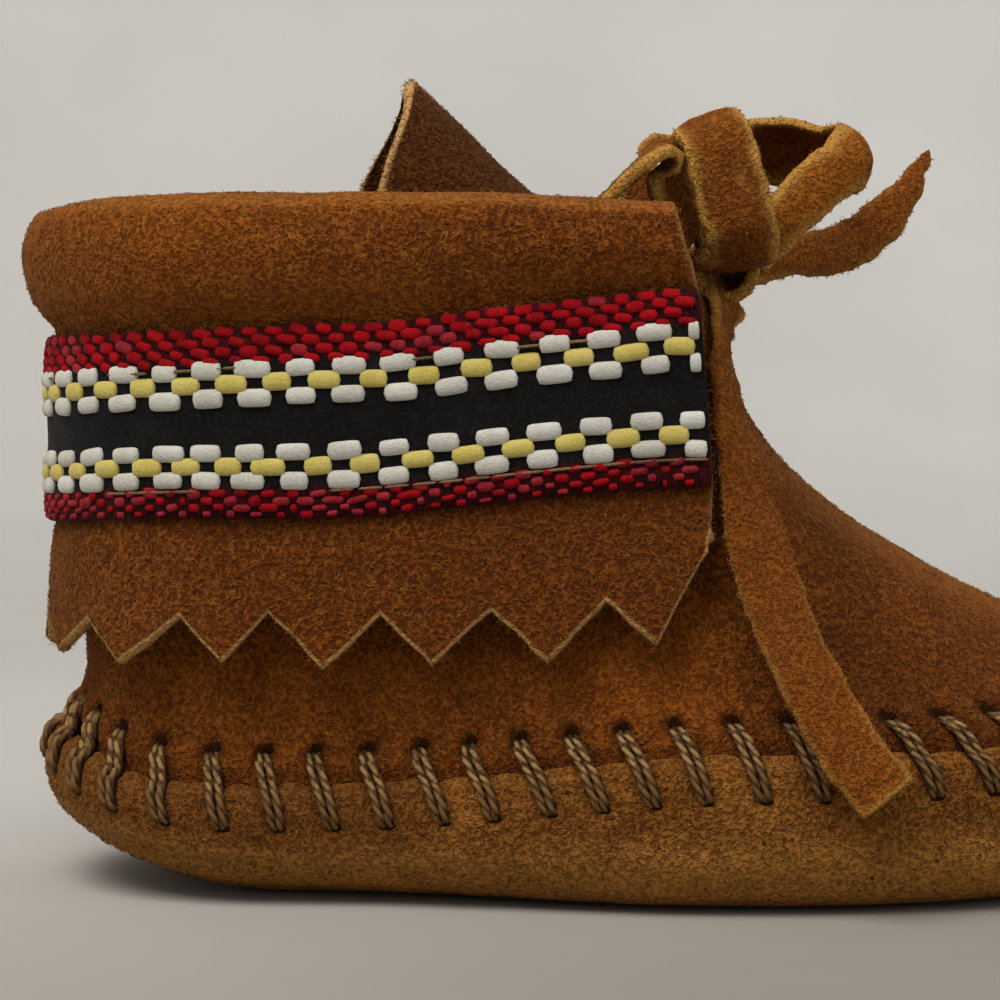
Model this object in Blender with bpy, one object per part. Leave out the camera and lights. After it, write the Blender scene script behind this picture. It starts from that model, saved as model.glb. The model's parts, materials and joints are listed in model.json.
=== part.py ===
"""Baby moccasin, right foot: an ankle-high soft-sole bootie in suede.

Pieces, as a maker would cut and join them:
  sole            moccasin bottom, a shallow tray of sueded hide that wraps up round the foot
  upper           vamp and quarters, one hollow shell on the last, its lower edge tucked inside the tray
  insole          loose suede insole on the floor of the tray
  tongue          extension of the vamp, rolled and flopped back into the collar
  cuff            collar piece, sewn on the upper's rim, folded out and down, lower edge cut in saw teeth
  braid           woven tape sewn round the cuff
  thong_crossing  the thong where it crosses the throat from cuff to cuff
  thong_knot, thong_loop_near, thong_loop_far, thong_tail_near, thong_tail_far   the tied bow

Frame: +X to the toe, +Y to the inner (medial) side of the right foot, +Z up. The origin is on the floor
under the middle of the box that holds everything but the bow. All tables are in millimetres.
"""

import math
from collections import namedtuple

import bmesh
import bpy
from mathutils import Vector

for old in list(bpy.data.objects):
    bpy.data.objects.remove(old, do_unlink=True)

MM = 0.001

# ---------------------------------------------------------------- driving sizes, mm
UPPER_WALL = 1.3
SOLE_WALL = 1.4
SOLE_FLOOR = 1.5
CUFF_WALL = 1.2
TONGUE_WALL = 1.2
INSOLE_THICK = 1.2
BRAID_THICK = 0.8
GAP = 0.3
TOOTH_DROP = 4.6        # depth of the saw teeth along the cuff's hem
TOOTH_COUNT = 15
THONG_THICK = 1.1

# ---------------------------------------------------------------- the last, as plan sections
# Each section is a closed plan curve: a round heel (x_back to x_heel), sides that run from w_heel to w_ball,
# and a round toe (x_ball to x_front). n_back and n_front square the ends off above 2. The z columns give the
# section's height at the heel's back, where the heel's round ends, at the ball and at the front; arch lifts
# the middle of each side.
Section = namedtuple(
    "Section",
    "at x_back x_heel x_ball x_front w_heel w_ball z_back z_heel z_ball z_front n_back n_front arch",
)

UPPER = [
    Section(0.00, -49.7, -33, 12.0, 51.3, 17.5, 22.7, 9.0, 7.8, 9.2, 11.8, 2.1, 2.25, 0),
    Section(0.12, -50.0, -33, 12.0, 51.5, 17.8, 23.1, 14.2, 12.2, 14.4, 16.0, 2.1, 2.25, 0),
    Section(0.20, -49.8, -32, 11.0, 48.9, 17.9, 22.7, 17.8, 15.8, 17.6, 18.8, 2.1, 2.20, 0),
    Section(0.32, -50.1, -31, 8.0, 42.2, 18.1, 21.4, 23.4, 20.8, 21.8, 22.2, 2.1, 2.15, 0),
    Section(0.45, -50.2, -30, 5.5, 34.0, 18.2, 19.9, 29.4, 26.8, 27.0, 25.8, 2.1, 2.10, 0),
    Section(0.58, -50.0, -30, 3.0, 24.6, 18.3, 18.9, 35.4, 33.4, 32.8, 31.1, 2.1, 2.15, 0),
    Section(0.70, -49.8, -30, 1.0, 15.6, 18.4, 18.4, 42.0, 40.6, 39.6, 37.6, 2.1, 2.35, 0),
    Section(0.81, -49.8, -30, 0.0, 10.4, 18.5, 18.2, 49.0, 48.2, 47.4, 45.0, 2.1, 2.60, 0),
    Section(0.91, -49.8, -30, 0.0, 8.7, 18.5, 18.0, 55.0, 54.6, 54.0, 49.8, 2.1, 2.80, 0),
    Section(1.00, -49.8, -30, 0.0, 8.0, 18.5, 18.0, 59.6, 60.0, 59.4, 52.6, 2.1, 2.80, 0.4),
]

SOLE = [
    Section(0.00, -51.9, -33, 12, 53.4, 19.55, 24.85, 14.8, 11.0, 14.4, 16.1, 2.1, 2.25, -0.2),
    Section(0.10, -52.9, -33, 12, 54.3, 20.05, 25.25, 13.6, 9.8, 12.9, 14.4, 2.1, 2.25, -0.2),
    Section(0.30, -53.6, -33, 12, 55.4, 20.50, 25.70, 11.0, 7.4, 9.5, 10.8, 2.1, 2.25, -0.1),
    Section(0.52, -53.0, -33, 12, 55.3, 20.00, 25.50, 7.6, 4.6, 5.6, 7.2, 2.1, 2.25, 0),
    Section(0.74, -50.4, -32, 12, 53.2, 17.60, 23.90, 4.2, 2.0, 2.2, 3.4, 2.1, 2.25, 0),
    Section(0.89, -46.4, -31, 12, 49.0, 13.80, 20.80, 1.6, 0.6, 0.5, 1.0, 2.1, 2.25, 0),
    Section(1.00, -36.5, -26, 12, 43.6, 9.60, 17.20, 0.0, 0.0, 0.0, 0.0, 2.1, 2.25, 0),
]

# The cuff's face, from the sewn edge inside the collar, over the fold and down the outside to the hem.
CUFF = [
    Section(0.00, -48.50, -30, 3.7, 14, 17.20, 17.20, 60.0, 60.4, 60.2, 60.2, 2.1, 2, 0.4),
    Section(0.05, -48.50, -30, 3.7, 14, 17.20, 17.20, 61.1, 61.8, 61.3, 61.3, 2.1, 2, 0.4),
    Section(0.12, -50.60, -30, 3.7, 14, 19.20, 19.10, 62.3, 63.3, 62.6, 62.6, 2.1, 2, 0.5),
    Section(0.19, -54.10, -30, 3.9, 14, 22.60, 21.70, 61.3, 62.3, 61.6, 61.6, 2.1, 2, 0.5),
    Section(0.28, -55.40, -30, 4.5, 14, 23.90, 22.50, 57.8, 58.4, 58.8, 58.8, 2.1, 2, 0.3),
    Section(0.38, -54.60, -30, 5.1, 14, 23.00, 21.90, 53.4, 54.4, 56.6, 56.6, 2.1, 2, 0.1),
    Section(0.45, -52.30, -30, 5.7, 14, 20.90, 20.90, 50.0, 51.2, 54.6, 54.6, 2.1, 2, 0),
    Section(0.60, -52.30, -30, 6.4, 14, 20.90, 20.90, 41.6, 43.2, 46.2, 46.2, 2.1, 2, 0),
    Section(0.75, -52.70, -30, 7.0, 14, 21.00, 21.30, 33.2, 34.8, 37.6, 37.6, 2.1, 2, 0),
    Section(0.84, -53.10, -30, 6.8, 14, 21.60, 22.10, 30.2, 31.4, 33.8, 33.8, 2.1, 2, 0),
    Section(1.00, -53.30, -30, 6.2, 14, 22.20, 23.30, 26.6, 27.3, 28.8, 28.8, 2.1, 2, 0),
]
BRAID_FROM, BRAID_TO = 0.452, 0.748   # the cuff's rows that the braid covers

# The last's centre line in plan: the ball leans out a little and the toe swings in.
Swing = namedtuple("Swing", "x y")
SWING = [Swing(-60, 0.45), Swing(-25, 0.65), Swing(8, -0.05), Swing(32, 0.95), Swing(56, 3.25), Swing(62, 4.05)]

# The tongue's ridge from its root behind the vamp to its tip: half is the half-width of the sheet measured
# over its curve, roll the radius that it is rolled to, and turn how far the sheet is turned round that roll
# towards the inner side, in degrees.
Rib = namedtuple("Rib", "x z half roll turn")
TONGUE = [
    Rib(8.0, 44.4, 11.0, 34, 0),
    Rib(7.2, 48.0, 12.4, 30, 0),
    Rib(6.0, 51.6, 14.0, 24, 1),
    Rib(4.0, 54.8, 15.4, 18, 3),
    Rib(0.8, 57.4, 16.4, 14, 6),
    Rib(-3.6, 60.2, 17.8, 12.0, 8),
    Rib(-8.8, 63.6, 19.0, 11.2, 10),
    Rib(-13.0, 67.0, 18.6, 10.8, 12),
    Rib(-16.2, 70.2, 14.2, 9.8, 12),
    Rib(-18.2, 72.2, 8.0, 9.2, 8),
    Rib(-19.5, 73.5, 2.2, 8.8, 4),
]

# Thong routes: the strip's centre, and the way its face looks there.
Turn = namedtuple("Turn", "x y z face_x face_y face_z")
CROSSING = [
    Turn(-3.0, -14.4, 61.8, -0.7, 0.0, 0.7),
    Turn(-1.4, -14.6, 63.2, -0.7, 0.0, 0.7),
    Turn(0.2, -15.2, 64.7, -0.6, 0.0, 0.8),
    Turn(1.5, -15.6, 66.0, -0.75, 0.0, 0.65),
    Turn(2.5, -15.2, 66.9, -0.6, -0.4, 0.7),
    Turn(3.2, -14.4, 66.7, 0.1, -0.7, 0.7),
    Turn(3.5, -13.5, 65.4, 0.6, -0.75, 0.3),
    Turn(3.9, -12.7, 63.5, 0.65, -0.75, 0.1),
    Turn(4.6, -11.7, 61.4, 0.6, -0.8, 0.1),
    Turn(5.1, -10.2, 59.2, 0.6, -0.8, 0.1),
    Turn(4.9, -7.6, 57.4, 0.95, -0.3, 0.1),
    Turn(5.1, -3.4, 56.9, 1.0, -0.1, 0.0),
    Turn(5.2, 0.4, 57.0, 1.0, 0.0, 0.0),
    Turn(5.4, 4.4, 57.4, 0.9, 0.3, 0.3),
    Turn(5.0, 8.2, 59.2, 0.7, 0.6, 0.3),
    Turn(4.2, 11.6, 61.6, 0.4, 0.85, 0.3),
    Turn(2.8, 13.8, 63.6, 0.1, 0.95, 0.3),
    Turn(1.2, 14.8, 64.6, 0.0, 0.95, 0.3),
]
KNOT_AT = (8.9, -5.9, 56.7)
KNOT_HALF = (2.75, 2.9, 3.2)
LOOP_NEAR = [
    Turn(8.9, -4.6, 57.0, -0.8, 0.2, 0.5),
    Turn(7.8, -6.0, 58.8, -0.85, 0.3, 0.3),
    Turn(7.2, -6.6, 61.2, -0.8, 0.6, 0.1),
    Turn(6.6, -7.8, 64.6, -0.7, 0.7, 0.1),
    Turn(6.2, -9.6, 67.9, -0.6, 0.3, 0.6),
    Turn(6.8, -12.4, 69.4, -0.2, -0.4, 0.9),
    Turn(7.6, -14.8, 68.6, 0.0, -0.9, 0.45),
    Turn(8.4, -15.6, 66.2, 0.0, -1.0, 0.1),
    Turn(9.2, -15.7, 63.0, 0.05, -1.0, 0.0),
    Turn(9.9, -15.4, 60.2, 0.1, -0.98, -0.2),
    Turn(10.2, -13.2, 58.0, 0.1, -0.6, -0.8),
    Turn(9.8, -9.8, 57.2, 0.1, -0.1, -1.0),
    Turn(9.0, -6.4, 56.9, 0.1, 0.3, -1.0),
]
LOOP_FAR = [
    Turn(9.6, -5.2, 57.4, -0.5, 0.6, 0.6),
    Turn(10.0, -2.0, 59.6, -0.6, 0.7, 0.3),
    Turn(10.4, 1.0, 62.4, -0.7, 0.65, 0.2),
    Turn(10.6, 3.0, 65.0, -0.75, 0.6, 0.3),
    Turn(11.8, 4.4, 66.8, -0.5, 0.7, 0.5),
    Turn(14.2, 4.9, 67.2, -0.1, 0.75, 0.65),
    Turn(16.8, 4.3, 66.8, 0.15, 0.78, 0.6),
    Turn(19.4, 2.9, 66.4, 0.4, 0.75, 0.5),
    Turn(21.0, 0.9, 66.6, 0.9, 0.35, 0.3),
    Turn(20.6, -1.3, 66.2, 0.5, -0.85, 0.1),
    Turn(18.2, -2.4, 64.4, 0.1, -0.98, -0.1),
    Turn(15.3, -3.4, 61.7, 0.1, -0.97, -0.2),
    Turn(12.8, -4.6, 59.2, 0.1, -0.9, -0.3),
    Turn(10.8, -5.2, 57.4, 0.1, -0.9, 0.1),
]
TAIL_NEAR = [
    Turn(8.3, -4.8, 55.3, 0.3, 0.9, -0.3),
    Turn(8.8, -6.9, 53.9, 0.75, -0.2, 0.6),
    Turn(8.6, -10.3, 52.4, 0.88, -0.3, 0.4),
    Turn(8.4, -13.8, 49.4, 0.90, -0.42, 0.15),
    Turn(9.0, -16.8, 43.6, 0.74, -0.66, 0.1),
    Turn(10.2, -19.0, 37.6, 0.50, -0.85, 0.12),
    Turn(11.5, -20.9, 31.6, 0.30, -0.93, 0.18),
    Turn(13.6, -23.2, 25.4, 0.24, -0.94, 0.26),
    Turn(16.4, -25.8, 19.4, 0.14, -0.96, 0.26),
    Turn(19.2, -27.6, 14.8, 0.08, -0.98, 0.2),
    Turn(22.0, -28.4, 11.3, 0.06, -0.98, 0.16),
]
TAIL_FAR = [
    Turn(11.0, -3.4, 56.4, 0.1, -0.8, 0.6),
    Turn(13.2, -0.6, 57.0, 0.1, -0.95, 0.3),
    Turn(16.0, 2.0, 57.6, 0.0, -0.97, 0.22),
    Turn(18.8, 4.2, 57.8, -0.1, -0.97, 0.2),
    Turn(21.8, 6.2, 58.7, -0.15, -0.96, 0.2),
    Turn(25.0, 8.0, 61.1, -0.2, -0.96, 0.15),
    Turn(27.5, 9.4, 64.2, -0.25, -0.96, 0.1),
    Turn(29.2, 10.4, 67.0, -0.3, -0.95, 0.1),
]
# how wide each thong is at shares of its length
Wide = namedtuple("Wide", "at wide")
CROSS_WIDE = [Wide(0, 4.4), Wide(0.3, 4.2), Wide(0.5, 3.4), Wide(0.62, 3.4), Wide(0.8, 4.4), Wide(1, 4.4)]
LOOP_NEAR_WIDE = [Wide(0, 3.6), Wide(0.12, 4.6), Wide(0.3, 5.6), Wide(0.5, 5.9), Wide(0.8, 6.6), Wide(1, 5.2)]
LOOP_FAR_WIDE = [Wide(0, 3.6), Wide(0.16, 5.4), Wide(0.36, 7.0), Wide(0.54, 6.0), Wide(0.66, 4.6), Wide(0.85, 4.2), Wide(1, 3.4)]
TAIL_NEAR_WIDE = [Wide(0, 2.0), Wide(0.14, 2.0), Wide(0.24, 2.5), Wide(0.36, 3.4), Wide(0.52, 4.6), Wide(0.75, 5.0), Wide(1, 5.3)]
TAIL_FAR_WIDE = [Wide(0, 3.2), Wide(0.3, 3.8), Wide(0.65, 4.2), Wide(1, 4.1)]


# ---------------------------------------------------------------- small mathematics
def smooth(f):
    return f * f * (3 - 2 * f)


def slopes(xs, ys):
    """Tangents of a curve through the points that never overshoots them."""
    d = [(ys[i + 1] - ys[i]) / (xs[i + 1] - xs[i]) for i in range(len(xs) - 1)]
    m = [d[0]]
    for i in range(1, len(d)):
        m.append(0.0 if d[i - 1] * d[i] <= 0 else 2 * d[i - 1] * d[i] / (d[i - 1] + d[i]))
    return m + [d[-1]]


def through(xs, ys, x):
    """The value at x of the smooth curve through the points."""
    x = min(max(x, xs[0]), xs[-1])
    m = slopes(xs, ys)
    i = max(k for k in range(len(xs) - 1) if xs[k] <= x) if x > xs[0] else 0
    h = xs[i + 1] - xs[i]
    f = (x - xs[i]) / h
    a, b = 2 * f**3 - 3 * f**2 + 1, f**3 - 2 * f**2 + f
    c, e = 3 * f**2 - 2 * f**3, f**3 - f**2
    return a * ys[i] + b * h * m[i] + c * ys[i + 1] + e * h * m[i + 1]


def section_at(table, at):
    """The section between the table's rows at that height along the form."""
    ats = [row.at for row in table]
    return Section(*[through(ats, [row[k] for row in table], at) for k in range(len(Section._fields))])


def swing(x):
    return through([r.x for r in SWING], [r.y for r in SWING], x)


def ramp(low, high, x):
    return smooth(min(max((x - low) / (high - low), 0.0), 1.0))


def heel_spring(x):
    """How far the underside has lifted off the floor towards the back of the heel."""
    return 1.5 * ramp(-29, -47, x)


def plan_point(s, v):
    """A point of section s. v runs 0 to 3 from the toe round the inner side to the heel's back, and 0 to -3
    round the outer side: 1 is the ball, 2 is where the heel's round begins."""
    side, u = (1 if v >= 0 else -1), abs(v)
    if u <= 1:
        a = u * math.pi / 2
        x = s.x_ball + (s.x_front - s.x_ball) * max(math.cos(a), 0) ** (2 / s.n_front)
        w = s.w_ball * math.sin(a) ** (2 / s.n_front)
        z = s.z_ball + (s.z_front - s.z_ball) * math.cos(a) ** 2
    elif u <= 2:
        f = u - 1
        x = s.x_ball + (s.x_heel - s.x_ball) * f
        w = s.w_ball + (s.w_heel - s.w_ball) * smooth(f)
        z = s.z_ball + (s.z_heel - s.z_ball) * smooth(f) + s.arch * 4 * f * (1 - f)
    else:
        a = (u - 2) * math.pi / 2
        x = s.x_heel - (s.x_heel - s.x_back) * math.sin(a) ** (2 / s.n_back)
        w = s.w_heel * max(math.cos(a), 0) ** (2 / s.n_back)
        z = s.z_heel + (s.z_back - s.z_heel) * math.sin(a) ** 3
    z += heel_spring(x) * ramp(0, 1, z) * (1 - ramp(2, 12, z))
    return Vector((x, side * w + swing(x), z))


def steps_between(s, v0, v1, count, fine=400):
    """count + 1 values of v at equal distances along section s."""
    vs = [v0 + (v1 - v0) * i / fine for i in range(fine + 1)]
    pts = [plan_point(s, v) for v in vs]
    run = [0.0]
    for a, b in zip(pts, pts[1:]):
        run.append(run[-1] + (b - a).length)
    out, j = [], 0
    for i in range(count + 1):
        want = run[-1] * i / count
        while j < fine - 1 and run[j + 1] < want:
            j += 1
        f = (want - run[j]) / max(run[j + 1] - run[j], 1e-9)
        out.append(vs[j] + (vs[j + 1] - vs[j]) * min(max(f, 0), 1))
    return out


def normals_of(rows, closed):
    """Unit normals of a grid of points. Where the columns run from v = -3 to 3 they point into the shoe from
    rows that climb and out of it from rows that go down."""
    n_rows, n_cols = len(rows), len(rows[0])
    out = []
    for i in range(n_rows):
        line = []
        for j in range(n_cols):
            if closed:
                along = rows[i][(j + 1) % n_cols] - rows[i][j - 1]
            else:
                along = rows[i][min(j + 1, n_cols - 1)] - rows[i][max(j - 1, 0)]
            up = rows[min(i + 1, n_rows - 1)][j] - rows[max(i - 1, 0)][j]
            line.append(up.cross(along).normalized())
        out.append(line)
    return out


# ---------------------------------------------------------------- making objects
def material(name, colour, rough=0.9):
    m = bpy.data.materials.new(name)
    m.use_nodes = True
    shader = m.node_tree.nodes["Principled BSDF"]
    shader.inputs["Base Color"].default_value = (*colour, 1)
    shader.inputs["Roughness"].default_value = rough
    shader.inputs["Metallic"].default_value = 0.0
    return m


SUEDE = material("suede", (0.145, 0.056, 0.012))
SUEDE_SOLE = material("suede_sole", (0.165, 0.072, 0.020))
SUEDE_THONG = material("suede_thong", (0.170, 0.066, 0.014))
BRAID_CLOTH = material("braid_cloth", (0.020, 0.018, 0.018))


def solid(name, points, faces, mat):
    mesh = bpy.data.meshes.new(name)
    mesh.from_pydata([p * MM for p in points], [], faces)
    bm = bmesh.new()
    bm.from_mesh(mesh)
    bmesh.ops.recalc_face_normals(bm, faces=bm.faces)
    bm.to_mesh(mesh)
    bm.free()
    mesh.shade_smooth()
    mesh.set_sharp_from_angle(angle=math.radians(40))
    mesh.materials.append(mat)
    obj = bpy.data.objects.new(name, mesh)
    bpy.context.scene.collection.objects.link(obj)
    return obj


def shell(name, face, back, closed, mat):
    """A sheet between two grids of points, face and back, closed into a ring or left with two ends."""
    n_rows, n_cols = len(face), len(face[0])
    points = [p for row in face for p in row] + [p for row in back for p in row]
    half = n_rows * n_cols
    turn = n_cols if closed else n_cols - 1

    def at(side, i, j):
        return side * half + i * n_cols + j % n_cols

    faces = []
    for i in range(n_rows - 1):
        for j in range(turn):
            faces.append([at(0, i, j), at(0, i, j + 1), at(0, i + 1, j + 1), at(0, i + 1, j)])
            faces.append([at(1, i, j), at(1, i + 1, j), at(1, i + 1, j + 1), at(1, i, j + 1)])
    for i in (0, n_rows - 1):
        for j in range(turn):
            faces.append([at(0, i, j), at(0, i, j + 1), at(1, i, j + 1), at(1, i, j)])
    if not closed:
        for j in (0, n_cols - 1):
            for i in range(n_rows - 1):
                faces.append([at(0, i, j), at(0, i + 1, j), at(1, i + 1, j), at(1, i, j)])
    return solid(name, points, faces, mat)


def columns(n_toe, n_side, n_heel):
    """Values of v round a whole section, from the heel's back along the outer side and back along the inner."""
    half = [i / n_toe for i in range(n_toe)]
    half += [1 + i / n_side for i in range(n_side)]
    half += [2 + i / n_heel for i in range(n_heel)]
    return [-3.0] + [-v for v in reversed(half[1:])] + [0.0] + half[1:]


# ---------------------------------------------------------------- upper
COLS = columns(10, 6, 7)
upper_ats = [0, 0.06, 0.12, 0.16, 0.20, 0.26, 0.32, 0.385, 0.45, 0.515, 0.58, 0.64, 0.70, 0.76, 0.81, 0.86, 0.91, 0.955, 1]
upper_face = [[plan_point(section_at(UPPER, at), v) for v in COLS] for at in upper_ats]
upper_in = normals_of(upper_face, True)
upper_back = [
    [p + n * UPPER_WALL for p, n in zip(row, line)] for row, line in zip(upper_face, upper_in)
]
shell("upper", upper_face, upper_back, True, SUEDE)

# ---------------------------------------------------------------- sole tray
sole_ats = [0, 0.05, 0.10, 0.20, 0.30, 0.41, 0.52, 0.63, 0.74, 0.82, 0.89, 0.95, 1]
sole_face = [[plan_point(section_at(SOLE, at), v) for v in COLS] for at in sole_ats]
sole_out = normals_of(sole_face, True)
sole_back = []
for row, line in zip(sole_face, sole_out):
    flat = row[0].z < 1e-6
    sole_back.append(
        [
            Vector((p.x, p.y, p.z + SOLE_FLOOR)) if flat else p - n * SOLE_WALL
            for p, n in zip(row, line)
        ]
    )


def tray(name, face, back, mat):
    """The outside down to the flat, the flat itself, and the same on the inside, joined along the top edge."""
    n_rows, n_cols = len(face), len(face[0])
    points = [p for row in face for p in row] + [p for row in back for p in row]
    half = n_rows * n_cols
    faces = []
    for side in (0, 1):
        for i in range(n_rows - 1):
            for j in range(n_cols):
                a, b = side * half + i * n_cols + j, side * half + i * n_cols + (j + 1) % n_cols
                faces.append([a, b, b + n_cols, a + n_cols])
        faces.append([side * half + (n_rows - 1) * n_cols + j for j in range(n_cols)])
    for j in range(n_cols):
        a, b = j, (j + 1) % n_cols
        faces.append([a, b, half + b, half + a])
    return solid(name, points, faces, mat)


tray("sole", sole_face, sole_back, SUEDE_SOLE)

# ---------------------------------------------------------------- insole
# its middle lies flat and its rim turns up with the tray
ring = len(COLS)
insole_low = [plan_point(section_at(SOLE, 0.945), v) + Vector((0, 0, SOLE_FLOOR + 2 * GAP)) for v in COLS]
insole_low += [plan_point(SOLE[-1], v) + Vector((0, 0, SOLE_FLOOR + GAP)) for v in COLS]
insole_high = [p + Vector((0, 0, INSOLE_THICK)) for p in insole_low]


def around(first, second):
    """Quads between two rings of points."""
    return [[first + j, first + (j + 1) % ring, second + (j + 1) % ring, second + j] for j in range(ring)]


solid(
    "insole",
    insole_low + insole_high,
    [list(range(ring, 2 * ring)), list(range(3 * ring, 4 * ring))]
    + around(0, ring) + around(2 * ring, 3 * ring) + around(0, 2 * ring),
    SUEDE,
)

# ---------------------------------------------------------------- cuff with its saw-tooth hem
hem = CUFF[-1]
PER_TOOTH = 2
half_cols = TOOTH_COUNT * PER_TOOTH // 2
side_vs = steps_between(hem, 1, 3, half_cols)
cuff_vs = [-v for v in side_vs] + [v for v in reversed(side_vs[:-1])]
cuff_ats = [0, 0.05, 0.085, 0.12, 0.155, 0.19, 0.235, 0.28, 0.33, 0.38, 0.415, 0.45, 0.60, 0.75, 0.84, 0.92, 1]


def tooth(j):
    """How far the hem hangs below the bottom of its notches at column j: a tip every PER_TOOTH columns."""
    return TOOTH_DROP * (1 - abs((j % PER_TOOTH) - PER_TOOTH / 2) / (PER_TOOTH / 2))


def cuff_grid(ats):
    rows = []
    for at in ats:
        s = section_at(CUFF, at)
        drop = max(0, (at - 0.84) / 0.16)
        rows.append(
            [plan_point(s, v) - Vector((0, 0, drop * tooth(j))) for j, v in enumerate(cuff_vs)]
        )
    return rows


cuff_face = cuff_grid(cuff_ats)
plain = [[plan_point(section_at(CUFF, at), v) for v in cuff_vs] for at in cuff_ats]
cuff_out = normals_of(plain, False)
cuff_back = [
    [p + n * CUFF_WALL for p, n in zip(row, line)] for row, line in zip(cuff_face, cuff_out)
]
shell("cuff", cuff_face, cuff_back, False, SUEDE)

# ---------------------------------------------------------------- braid
braid_ats = [BRAID_FROM + (BRAID_TO - BRAID_FROM) * i / 4 for i in range(5)]
braid_vs = cuff_vs
braid_plain = [[plan_point(section_at(CUFF, at), v) for v in braid_vs] for at in braid_ats]
braid_out = normals_of(braid_plain, False)
braid_back = [[p - n * GAP for p, n in zip(r, l)] for r, l in zip(braid_plain, braid_out)]
braid_face = [
    [p - n * (GAP + BRAID_THICK) for p, n in zip(r, l)] for r, l in zip(braid_plain, braid_out)
]
shell("braid", braid_face, braid_back, False, BRAID_CLOTH)

# ---------------------------------------------------------------- tongue


def tongue_grid(rows=20, cols=12):
    """Ribs across the tongue's ridge. Each rib is an arc of its roll radius in the plane square to the ridge."""
    run = [0.0]
    for a, b in zip(TONGUE, TONGUE[1:]):
        run.append(run[-1] + math.hypot(b.x - a.x, b.z - a.z))
    cols_of = {k: [getattr(r, k) for r in TONGUE] for k in Rib._fields}

    def at(k, d):
        return through(run, cols_of[k], d)

    face, back = [], []
    for i in range(rows + 1):
        d = run[-1] * i / rows
        ahead, behind = min(d + 0.05, run[-1]), max(d - 0.05, 0)
        axis = Vector((at("x", ahead) - at("x", behind), 0, at("z", ahead) - at("z", behind))).normalized()
        inward = Vector((-axis.z, 0, axis.x))      # to the hollow side of the roll
        if inward.x > 0:
            inward = -inward
        ridge, half, roll = Vector((at("x", d), 0, at("z", d))), at("half", d), at("roll", d)
        line_f, line_b = [], []
        for j in range(cols + 1):
            a = half * (2 * j / cols - 1) / roll + math.radians(at("turn", d))
            for line, r in ((line_f, roll + TONGUE_WALL / 2), (line_b, roll - TONGUE_WALL / 2)):
                p = ridge + Vector((0, 1, 0)) * (r * math.sin(a)) + inward * (roll - r * math.cos(a))
                line.append(p + Vector((0, swing(p.x), 0)))
        face.append(line_f)
        back.append(line_b)
    return face, back


t_face, t_back = tongue_grid()
shell("tongue", t_face, t_back, False, SUEDE)

# ---------------------------------------------------------------- thong


def route(turns, step):
    """Points about step apart on the smooth curve through the turns, with the strip's face there."""
    run = [0.0]
    for a, b in zip(turns, turns[1:]):
        run.append(run[-1] + math.dist(a[:3], b[:3]))
    tang = []
    for i in range(len(turns)):
        lo, hi = max(i - 1, 0), min(i + 1, len(turns) - 1)
        tang.append([(turns[hi][k] - turns[lo][k]) / (run[hi] - run[lo]) for k in range(6)])
    out, count = [], max(4, round(run[-1] / step))
    for i in range(count + 1):
        d = run[-1] * i / count
        j = min(max([k for k in range(len(run)) if run[k] <= d]), len(turns) - 2)
        h = run[j + 1] - run[j]
        f = (d - run[j]) / h
        a, b = 2 * f**3 - 3 * f**2 + 1, f**3 - 2 * f**2 + f
        c, e = 3 * f**2 - 2 * f**3, f**3 - f**2
        v = [
            a * turns[j][k] + b * h * tang[j][k] + c * turns[j + 1][k] + e * h * tang[j + 1][k]
            for k in range(6)
        ]
        out.append((Vector(v[:3]), Vector(v[3:]).normalized()))
    return out


def in_knot(p):
    """True inside the knot's outline grown by the gap."""
    return sum(abs((p[k] - KNOT_AT[k]) / (KNOT_HALF[k] + GAP)) ** 2.5 for k in range(3)) < 1


def strip(name, turns, widths, thick=THONG_THICK, step=2.0, point=0.0):
    """A flat thong along its route, clear of the knot, its last third narrowed by point (0 square, 1 to nothing)."""
    rings = []
    line = route(turns, step)
    for i, (p, face) in enumerate(line):
        ahead = (line[min(i + 1, len(line) - 1)][0] - line[max(i - 1, 0)][0]).normalized()
        face = (face - ahead * face.dot(ahead)).normalized()
        across = ahead.cross(face).normalized()
        share = i / (len(line) - 1)
        w = through([x.at for x in widths], [x.wide for x in widths], share) / 2
        w *= 1 - point * max(0, (share - 0.7) / 0.3) ** 1.5
        e = 0.28 * thick
        ring = [
            p + across * a + face * b
            for a, b in ((-w, -thick / 2 + e), (-w, thick / 2 - e), (-w + e, thick / 2), (w - e, thick / 2),
                         (w, thick / 2 - e), (w, -thick / 2 + e), (w - e, -thick / 2), (-w + e, -thick / 2))
        ]
        tests = [p + across * (w * k / 4) + face * b for k in range(-4, 5) for b in (-thick / 2, thick / 2)]
        rings.append((ring, any(in_knot(t) for t in tests)))
    while name != "thong_crossing" and rings[0][1]:
        rings.pop(0)
    while name != "thong_crossing" and rings[-1][1]:
        rings.pop()
    points, faces, n = [p for ring, _ in rings for p in ring], [], 8
    for i in range(len(rings) - 1):
        for k in range(n):
            a, b = i * n + k, i * n + (k + 1) % n
            faces.append([a, b, b + n, a + n])
    faces.append(list(range(n)))
    faces.append([(len(rings) - 1) * n + k for k in range(n)])
    return solid(name, points, faces, SUEDE_THONG)


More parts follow.
